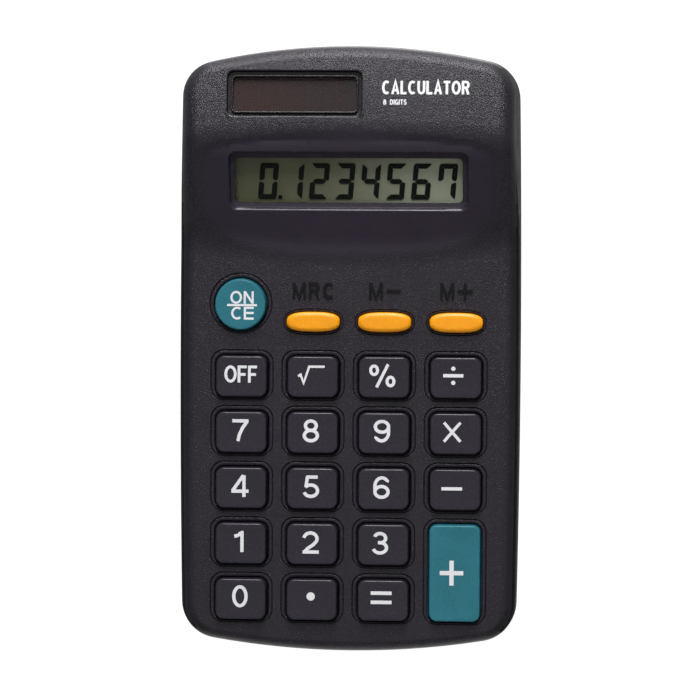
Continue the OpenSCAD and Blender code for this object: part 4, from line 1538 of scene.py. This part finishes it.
def battery_door():
    """The door: a piece of the rear cover's shell with rails, grip grooves and an arrow."""
    piece = rear_base("battery_door_panel")
    carve(piece, "INTERSECT", [door_room(-DOOR_GAP, -MOUTH)])
    rails = []
    for sx in (-1, 1):
        x = sx * DOOR_HALF_W
        rails.append(tool_block((x - RAIL_REACH, x + RAIL_REACH), (DOOR_Y + DOOR_GAP, 52.5), RAIL_Z, 0.1))
    tongue = DOOR_HALF_W - 2.4
    rails.append(tool_block((-tongue, tongue), (DOOR_Y - 1.3, DOOR_Y + 1), RAIL_Z, 0.1))
    carve(piece, "UNION", rails)
    grooves = []
    for i in range(GRIP_BARS):
        bar = Shape()
        y = GRIP_Y + GRIP_PITCH * i
        tube(bar, [(x, y, -0.1) for x in np.linspace(-7, 7, 9)], 0.42, 20)
        grooves.append(bar.solid("tool"))
    arrow = Shape()
    middle = ARROW.mean(0)
    levels = ((1.12, -0.2), (1.0, 0.06), (0.86, 0.3))
    arrow.close([arrow.ring((ARROW - middle) * grow + middle, z) for grow, z in levels])
    carve(piece, "DIFFERENCE", [*grooves, arrow.solid("tool")])
    adopt(crisp(piece), "battery_door", ["battery_door"])


# ---- Screws ----

DARK_STEEL = metal("blackened_steel", (0.10, 0.10, 0.105), 0.38, (6.0, 6.0, 1.0))
STEEL = metal("plated_steel", (0.62, 0.61, 0.58), 0.28, (6.0, 6.0, 1.0))
SPRING_STEEL = metal("spring_wire", (0.70, 0.69, 0.66), 0.24, (3.0, 3.0, 3.0))
SCREW_SIDES = 28


def screw(shank, head_r, head_h, length):
    """Pan-head screw with a cross recess, its seat at 0 and its threaded shank below."""
    shape = Shape()
    turn = np.linspace(0, 2 * math.pi, SCREW_SIDES, endpoint=False)
    pitch = shank * 0.8
    rings = []
    for z in np.linspace(-length, -0.15, int(length / pitch * 7)):
        crest = np.abs((z / pitch - turn / (2 * math.pi)) % 1 * 2 - 1)
        radius = shank * (0.76 + 0.24 * crest) * min(1.0, 0.35 + (z + length) / (2 * shank))
        rings.append(shape.ring(np.column_stack([radius * np.cos(turn), radius * np.sin(turn)]), z))
    shape.cap(rings[0], up=False)
    for r, z in ((shank, 0.0), (head_r - 0.08, 0.0), (head_r, 0.08), (head_r, 0.42 * head_h)):
        rings.append(shape.ring(circle((0, 0), r, SCREW_SIDES), z))
    # The head's domed top rises to 62 degrees, whose sine is 0.883, where the cross recess starts.
    for angle in (20, 42, 62):
        rise = math.sin(math.radians(angle))
        reach = head_r * (0.6 + 0.4 * math.cos(math.radians(angle)))
        rings.append(shape.ring(circle((0, 0), reach, SCREW_SIDES), head_h * (0.42 + 0.58 * rise / 0.883)))
    rim = shape.sweep(rings)
    arm, tip = 0.17 * head_r, 0.58 * head_r
    corners = [(tip, arm), (arm, arm), (arm, tip)]
    quarters = ((1, 0), (0, 1), (-1, 0), (0, -1))
    cross = np.array([(x * c - y * s, x * s + y * c) for c, s in quarters for x, y in corners])
    recess = [shape.ring(cross * grow, head_h * z) for grow, z in ((1, 1), (0.86, 0.7), (0.5, 0.35))]
    shape.fill(rim, [recess[0]])
    shape.cap(shape.sweep(recess))
    return shape


def screws(name, node, places, direction, sizes, material, slot):
    """A group of like screws, each with its seat at a place and its head facing direction."""
    group = Shape()
    for place in places:
        group.add(screw(*sizes), set_in(place, direction))
    group.build(name, "case", material, slot, [node], sharp=38)


def fasteners():
    """The screws of the case, the board and the display holder."""
    down = (0, 0, -1)
    screws("case_screw_set", "case_screws", [(x, y, HEAD_SEAT) for x, y in CASE_SCREWS], down,
           (0.75, 1.5, 1.1, 6.4), DARK_STEEL, "dark_steel")
    under_board = box("circuit_board")[0][2] - 0.02
    screws("board_screw_set", "board_screws", [(x, y, under_board) for x, y in BOARD_SCREWS], down,
           (0.7, 1.35, 0.8, 3.4), STEEL, "steel")
    seats = DISPLAY.place(np.array([(-26.0, -2.0), (26.0, -2.0)]), -5.42)
    away = seats[0] - DISPLAY.place(np.array([(-26.0, -2.0)]), -4.42)[0]
    screws("holder_screw_set", "holder_screws", seats, away, (0.6, 1.2, 0.7, 2.6), STEEL, "steel")


def front_bosses():
    """Posts under the front cover that the board is screwed to."""
    shape = Shape()
    for x, y in BOARD_SCREWS:
        roof = float(under(np.array([x]), np.array([y]))[0]) + 0.05
        bore = [(0.78, roof), (0.78, 6.75), (0.95, 6.62)]
        outside = [(1.45, 6.62), (1.6, 6.75), (1.62, roof - 0.4), (1.9, roof)]
        rings = [shape.ring(circle((x, y), r, 32), z) for r, z in bore + outside]
        shape.sweep([*rings, rings[0]])
    shape.build("front_posts", "case", FRONT, "case_front")


# ---- Cell, contacts and wires ----

CELL_Y = 44.5
CELL_Z = 9.2
CELL_R = 7.1
CELL_X = box("battery")[0][0]
CELL_END = CELL_X + 49.5


def cell_jacket():
    """Printed sleeve: dark, with a copper-coloured band at the plus end."""
    g = Graph("cell_sleeve")
    band = g.spread(g.axis("X"), 0.0, 1.0, (CELL_END - 14.1) * MM, (CELL_END - 13.9) * MM)
    film = g.noise(1.2, 3.0)
    dark = g.shade(g.noise(4.0), (0.018, 0.02, 0.026), (0.026, 0.028, 0.034))
    copper = g.shade(film, (0.52, 0.22, 0.075), (0.60, 0.27, 0.10))
    base = g.mix(band, dark, copper)
    return g.finish(base_color=base, roughness=g.spread(film, 0.22, 0.34), normal=g.bump(film, 0.004))


# Profiles of the cell as (radius, distance from its minus end): the can's crimped ends and plus cap, and
# the sleeve around it.
CAN_PROFILE = [
    (5.0, 0.35), (5.2, 0.12), (5.45, 0.02), (6.0, 0.0), (6.5, 0.08), (6.8, 0.3), (6.9, 0.7),
    (6.9, 48.8), (6.75, 49.15), (6.4, 49.32), (4.4, 49.36), (4.1, 49.2), (3.3, 49.2), (2.95, 49.3),
    (2.7, 49.6), (2.66, 50.2), (2.5, 50.42), (2.2, 50.5),
]
SLEEVE_PROFILE = [
    (6.2, 0.02), (6.75, 0.02), (6.98, 0.12), (CELL_R, 0.4),
    (CELL_R, 49.0), (7.0, 49.25), (6.75, 49.4), (6.1, 49.42),
]


def battery():
    """Cell with its can, printed sleeve and plus and minus marks."""
    centre = (CELL_X, CELL_Y, CELL_Z)
    can = Shape()
    turned(can, CAN_PROFILE, 64, centre, (1, 0, 0))
    can.build("cell_can", "case", STEEL, "steel", ["battery"])
    sleeve = Shape()
    turned(sleeve, SLEEVE_PROFILE, 72, centre, (1, 0, 0))
    sleeve.build("cell_sleeve", "case", cell_jacket(), "cell_jacket", ["battery"])
    marks = Shape()
    round_cell = lambda r: lambda p: np.column_stack([
        p[:, 0], CELL_Y + r * np.sin(p[:, 1] / CELL_R), CELL_Z - r * np.cos(p[:, 1] / CELL_R)])
    signs = [quad + (CELL_END - 6.5, 0) for quad in lettered(["plus"], 4.2, 0.8)]
    signs += [quad + (CELL_X + 6.5, 0) for quad in lettered(["minus"], 4.2, 0.8)]
    plated(marks, [quad[::-1] for quad in signs], round_cell(CELL_R + 0.01), round_cell(CELL_R - 0.05))
    marks.faces = [face[::-1] for face in marks.faces]
    marks.build("cell_marks", "case", WHITE_INK, "cell_jacket", ["battery"])


def contact(name, node, x, bulge):
    """Spring-steel plate with rounded corners, a pressed centre and a folded tag for its wire."""
    shape = Shape()
    plate = rounded_box(8.2, 8.6, 1.0) + (-0.3, -0.1)
    face = set_in((x, CELL_Y, CELL_Z), (1, 0, 0))
    local = Shape()
    levels = ((0.985, 0.0), (1.0, 0.05), (1.0, 0.25), (0.985, 0.3))
    rings = [local.ring(plate * grow, z) for grow, z in levels]
    dimple = [local.ring(circle((0, 0), r, 40), 0.3 + z) for r, z in ((2.6, 0), (2.2, bulge), (0.6, bulge))]
    under_dimple = [local.ring(circle((0, 0), r, 40), z) for r, z in ((2.4, 0), (2.0, bulge), (0.4, bulge))]
    local.sweep(rings)
    local.fill(rings[-1], [dimple[0]])
    local.cap(local.sweep(dimple))
    local.fill(rings[0], [under_dimple[0]], up=False)
    for a, b in zip(under_dimple, under_dimple[1:]):
        local.bridge(b, a)
    local.cap(under_dimple[-1], up=False)
    shape.add(local, face)
    block(shape, (x, x + 0.9), (CELL_Y - 4.4, CELL_Y - 4.05), (CELL_Z - 0.6, CELL_Z + 1.2), 0.08)
    shape.build(name, "case", SPRING_STEEL, "spring_steel", [node])


def coil_spring():
    """Conical coil with flat first and last turns."""
    low, high = box("battery_spring")
    wire = 0.3
    t = np.linspace(0, 1, 161)
    rise = np.clip((t - 0.16) / 0.68, 0, 1)
    radius = 4.0 - 1.8 * rise
    turn = 2 * math.pi * 4.2 * t
    x = low[0] + wire + (high[0] - low[0] - 2 * wire) * rise
    path = np.column_stack([x, CELL_Y + radius * np.cos(turn), CELL_Z + radius * np.sin(turn)])
    shape = Shape()
    tube(shape, path, wire)
    shape.build("cell_spring", "case", SPRING_STEEL, "spring_steel", ["battery_spring"])


def insulation(name, colour):
    return filmed(name, tinted(colour, 0.85), colour, 1.5, (0.36, 0.5), 0.006)


# The wires' routes, as the CAD has them.
RED_ROUTE = [
    (26, 40.06, 9.8), (26, 35.4, 9.8), (26, 33.4, 4),
    (24.5, 22, 3.6), (17, 15, 3.6), (17, 15, 5.55),
]
BLACK_ROUTE = [
    (-27.9, 40.06, 9.8), (-27.6, 35.4, 9.8), (-26.4, 33.4, 4),
    (-24.5, 22, 3.6), (-17, 15, 3.6), (-17, 15, 5.55),
]
SOLAR_ROUTE = [
    (-21.5, 43.2, 16.55), (-25, 41, 16.2), (-25.8, 38.6, 14.9), (-25.8, 35.3, 10.4),
    (-25, 33.4, 5.2), (-22, 22, 5), (-13, 15, 5), (-13, 15, 5.55),
]
LEAD_R = 0.42
SOLAR_LEAD_R = 0.28


def wires():
    """The two battery leads and the solar cell's pair."""
    for name, route, colour in (
        ("red_lead", RED_ROUTE, (0.42, 0.012, 0.01)), ("black_lead", BLACK_ROUTE, (0.012, 0.012, 0.013))
    ):
        shape = Shape()
        tube(shape, rounded_route(route, 1.6), LEAD_R, 14)
        slot = name.replace("lead", "insulation")
        shape.build(name + "_wire", "case", insulation(slot, colour), slot, [name])
    shape = Shape()
    for shift in (0.0, 0.9):
        tube(shape, rounded_route(np.array(SOLAR_ROUTE) + (shift, 0, 0), 1.2), SOLAR_LEAD_R, 12)
    blue = insulation("blue_insulation", (0.02, 0.07, 0.24))
    shape.build("solar_wires", "case", blue, "blue_insulation", ["solar_leads"])


# ---- Board ----

BOARD_HALF_W = 25.2
BOARD_Y = (-50.0, 13.2)
TAB_HALF_W = 20.0
TAB_Y = 16.5
BOARD_LOW, BOARD_TOP = box("circuit_board")[0][2], box("circuit_board")[1][2]
SHEET_LOW, SHEET_TOP = BOARD_TOP + 0.01, BOARD_TOP + 0.61
SHEET_Y = 12.4
DOME_TOP = 9.15


def pad_fingers(x, y):
    """Two interleaved combs that a key's pill bridges."""
    outlines = []
    for k in range(6):
        shift = 0.12 if k % 2 else -0.12
        outlines.append(rounded_box(0.3, 2.5, 0.04, 3, 2) + (x - 1.5 + 0.6 * k, y + shift))
    for side in (-1, 1):
        outlines.append(rounded_box(3.5, 0.3, 0.04, 3, 2) + (x, y + side * 1.5))
    return outlines


def circuit_board():
    """Board with key pads above, tracks below and solder where wires end."""
    shape = Shape()
    (low_y, high_y), w, tab = BOARD_Y, BOARD_HALF_W, TAB_HALF_W
    right = [(w, low_y), (w, high_y), (tab, high_y), (tab, TAB_Y)]
    plan = [(-w, low_y), *right, (-tab, TAB_Y), (-tab, high_y), (-w, high_y)]
    holes = [circle(place, 0.9, 32) for place in BOARD_SCREWS]
    sheet(shape, np.array(plan, float), holes, BOARD_LOW, BOARD_TOP)
    mask = filmed("solder_mask", (0.008, 0.085, 0.035), (0.012, 0.12, 0.05), 0.9, (0.3, 0.42), 0.008)
    shape.build("board", "case", mask, "board", ["circuit_board"])
    sites = {key: key_size(key)[0] for key in KEYS}
    pads = [ring for x, y in sites.values() for ring in pad_fingers(x, y)]
    rows = sorted({round(float(y), 2) for _, y in sites.values()})
    for y in rows:
        pads.append(rounded_box(45.0, 0.28, 0.05, 3, 2) + (0, y + 2.35))
    copper = Shape()
    plated(copper, pads, level(BOARD_TOP + 0.006), level(BOARD_TOP - 0.03))
    copper.build("board_pads", "case", metal("tinned_copper", (0.72, 0.55, 0.30), 0.3), "board")
    tracks = []
    columns = sorted({round(float(x), 2) for x, _ in sites.values()})
    for lane, x in enumerate(columns):
        tracks += pen_quads(run((x + 3.2, 12.0), (x + 3.2, -46.0)), 0.3)
        tracks += pen_quads(run((x + 3.2, -14.0 - 0.9 * lane), (-3.0 + 1.2 * lane, -18.0)), 0.3)
    for k in range(13):
        x = -15.0 + 2.5 * k
        tracks += pen_quads(run((x, 16.2), (x, 12.5), (-3.6 + 0.6 * k, -14.5)), 0.25)
    lines = Shape()
    plated(lines, tracks, level(BOARD_LOW + 0.02), level(BOARD_LOW - 0.012))
    lines.build("board_tracks", "case", metal("masked_copper", (0.10, 0.30, 0.09), 0.35), "board")
    solder = Shape()
    bead = [(1.0, -0.02), (0.85, 0.12), (0.55, 0.34), (0.3, 0.5), (0.1, 0.55)]
    for x, y in ((17, 15), (-17, 15), (-13, 15), (-12.1, 15), (9.6, 6.6), (12.8, 6.6)):
        turned(solder, bead, 20, (x, y, BOARD_LOW), (0, 0, -1))
    tin = metal("solder", (0.70, 0.70, 0.69), 0.22, (2.0, 2.0, 2.0))
    solder.build("solder_joints", "case", tin, "board")


def capacitor():
    """Small electrolytic can lying under the board, with its crimp and its two legs."""
    low, high = box("capacitor")
    middle, radius, length = (low + high) / 2, (high[2] - low[2]) / 2, high[0] - low[0]
    profile = [
        (1.2, 0.0), (1.5, 0.04), (radius, 0.2), (radius, 0.75), (radius - 0.16, 1.0), (radius - 0.16, 1.15),
        (radius, 1.4), (radius, length - 0.25), (radius - 0.08, length - 0.08), (radius - 0.3, length),
    ]
    shape = Shape()
    turned(shape, profile, 40, (low[0], middle[1], middle[2]), (1, 0, 0))
    g = Graph("capacitor_sleeve")
    film = g.noise(0.8, 3.0)
    stripe = g.spread(g.axis("Z"), 1.0, 0.0, (middle[2] - 1.1) * MM, (middle[2] - 1.0) * MM)
    base = g.mix(stripe, (0.012, 0.018, 0.05), (0.45, 0.46, 0.48))
    can = g.finish(base_color=base, roughness=g.spread(film, 0.25, 0.36), normal=g.bump(film, 0.004))
    shape.build("capacitor_can", "case", can, "can", ["capacitor"])
    legs = Shape()
    for side in (-1, 1):
        y = middle[1] + 0.6 * side
        tube(legs, rounded_route([(high[0] - 0.1, y, middle[2]), (high[0] + 0.6, y, middle[2]),
                                  (high[0] + 0.6, y, BOARD_LOW + 0.05)], 0.35), 0.16, 8)
    legs.build("capacitor_legs", "case", STEEL, "can")


# ---- Membrane ----

RUBBER = moulded("grey_rubber", (0.34, 0.345, 0.33), 0.62, 0.01, 0.6, specular=0.35)
CARBON = moulded("carbon_pill", (0.012, 0.012, 0.012), 0.7, 0.012, 0.25, specular=0.3)


def membrane():
    """Rubber sheet, and a dome and a carbon pill under each key."""
    low_y, w = BOARD_Y[0], BOARD_HALF_W
    plan = rounded_box(2 * w, SHEET_Y - low_y, 1.2) + (0, (SHEET_Y + low_y) / 2)
    sites = {key: key_size(key)[0] for key in KEYS}
    holes = [circle(middle, 2.85, 40) for middle in sites.values()]
    holes += [circle(place, 1.8, 32) for place in BOARD_SCREWS]
    shape = Shape()
    sheet(shape, plan, holes, SHEET_LOW, SHEET_TOP)
    shape.build("membrane_sheet", "case", RUBBER, "membrane", ["key_membrane"])
    height = DOME_TOP - SHEET_TOP
    outer = ((3.25, 0.0), (3.1, 0.08), (3.0, 0.25), (2.5, 1.35), (2.36, 1.7), (2.25, 1.86), (2.05, height))
    inner = ((2.9, 0.0), (2.75, 0.1), (2.2, 0.75), (1.75, 0.8))
    for key, (x, y) in sites.items():
        dome = Shape()
        ring = lambda r, rise: dome.ring(circle((x, y), r, 40), SHEET_TOP + rise)
        rings = [ring(r, rise) for r, rise in outer]
        hollow = [ring(r, rise) for r, rise in inner]
        dome.cap(dome.sweep(rings))
        for a, b in zip(hollow, hollow[1:]):
            dome.bridge(b, a)
        dome.cap(hollow[-1], up=False)
        dome.bridge(hollow[0], rings[0])
        piece = dome.build("dome_" + key[4:], "case", RUBBER, "membrane", ["key_membrane"], sharp=50)
        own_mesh(piece)
        pill = Shape()
        low, high = box("contact_pills")[0][2], box("contact_pills")[1][2]
        local = [(1.3, low), (1.4, low + 0.08), (1.4, high - 0.06), (1.32, high)]
        rings = [pill.ring(circle((x, y), r, 32), z) for r, z in local]
        pill.close(rings)
        pill.build("pill_" + key[4:], key, CARBON, "carbon_rubber", ["contact_pills"])


# ---- CAD parts that stay ----


def ribbon_film():
    """Amber film with fine dark conductors across it."""
    g = Graph("ribbon_film")
    stripes = g.maths("SINE", g.maths("MULTIPLY", g.axis("X"), 2 * math.pi / (0.9 * MM)))
    base = g.mix(g.spread(stripes, 0.0, 1.0, -0.2, 0.2), (0.50, 0.26, 0.06), (0.10, 0.055, 0.03))
    film = g.noise(2.0)
    return g.finish(base_color=base, roughness=g.spread(film, 0.28, 0.4), normal=g.bump(film, 0.004))


def keep(node, material, edge):
    """Gives a CAD part its material and a small rounding of its edges."""
    piece = frame["nodes"][node]
    piece.data.materials.clear()
    piece.data.materials.append(material)
    if edge:
        soften(piece, edge)


def kept_parts():
    keep("lcd_holder", moulded("white_plastic", (0.62, 0.62, 0.58), 0.45, 0.004, 0.5), 0.12)
    keep("lcd_reflector", metal("reflector_foil", (0.78, 0.79, 0.76), 0.3), 0.03)
    keep("lcd_ribbon", ribbon_film(), 0)
    resin = filmed("black_resin", (0.008, 0.008, 0.009), (0.016, 0.015, 0.016), 1.6, (0.18, 0.32), 0.03)
    keep("controller_chip", resin, 0)


# ---- Studio ----

FLOOR_HALF = 2500.0
FLOOR_Z = -0.05


def area_light(name, place, target, size, power):
    light = bpy.data.lights.new(name, "AREA")
    light.shape = "RECTANGLE"
    light.size, light.size_y = size
    light.energy = power
    lamp = bpy.data.objects.new(name, light)
    bpy.context.scene.collection.objects.link(lamp)
    lamp.location = place
    lamp.rotation_euler = (Vector(target) - Vector(place)).to_track_quat("-Z", "Y").to_euler()


def studio():
    """Pale floor, three area lights and a dim sky."""
    g = Graph("pale_floor")
    pale = g.finish(
        base_color=g.mix(g.noise(300.0), (0.20, 0.20, 0.20), (0.22, 0.22, 0.22)),
        roughness=0.9,
        specular_ior_level=0.0,
        emission_color=(1.0, 1.0, 1.0),
        emission_strength=0.97,
    )
    shape = Shape()
    shape.cap(shape.ring(np.array([(-1, -1), (1, -1), (1, 1), (-1, 1)]) * FLOOR_HALF, FLOOR_Z))
    floor = shape.solid("floor", pale)
    bpy.context.scene.collection.objects.link(floor)
    world = bpy.data.worlds.new("studio")
    world.use_nodes = True
    world.node_tree.nodes["Background"].inputs["Color"].default_value = (1, 1, 1, 1)
    world.node_tree.nodes["Background"].inputs["Strength"].default_value = 0.11
    bpy.context.scene.world = world
    bpy.context.scene.view_settings.view_transform = "Standard"
    # One light beyond the display end gives the face its sheen, a weak one at the key end fills the
    # front edge, and one overhead evens the rest.
    middle = (0, 0, 0.01)
    area_light("top_light", (0.0, 0.9, 0.55), middle, (0.32, 0.9), 18.0)
    area_light("low_light", (0.0, -0.95, 0.28), middle, (1.0, 0.3), 1.0)
    area_light("sky_light", (0.0, 0.0, 1.2), middle, (1.2, 1.2), 2.6)


def camera():
    """Nearly straight above, a little to the right of the middle and turned to face it."""
    lens = bpy.data.cameras.new("camera")
    lens.lens = 155.5
    lens.sensor_width = 36
    eye = bpy.data.objects.new("camera", lens)
    bpy.context.scene.collection.objects.link(eye)
    eye.location = (0.03297, 0.02251, 0.57419)
    eye.rotation_euler = (-0.03968, 0.05844, 0.0056)
    bpy.context.scene.camera = eye


front_cover()
front_bosses()
raised_labels()
keys()
display()
solar()
maker_block()
rear_cover()
battery_door()
fasteners()
battery()
contact("plus_contact", "positive_contact", box("positive_contact")[0][0], -0.25)
contact("minus_contact", "negative_contact", box("negative_contact")[0][0], 0.0)
coil_spring()
wires()
circuit_board()
capacitor()
membrane()
kept_parts()
studio()
camera()
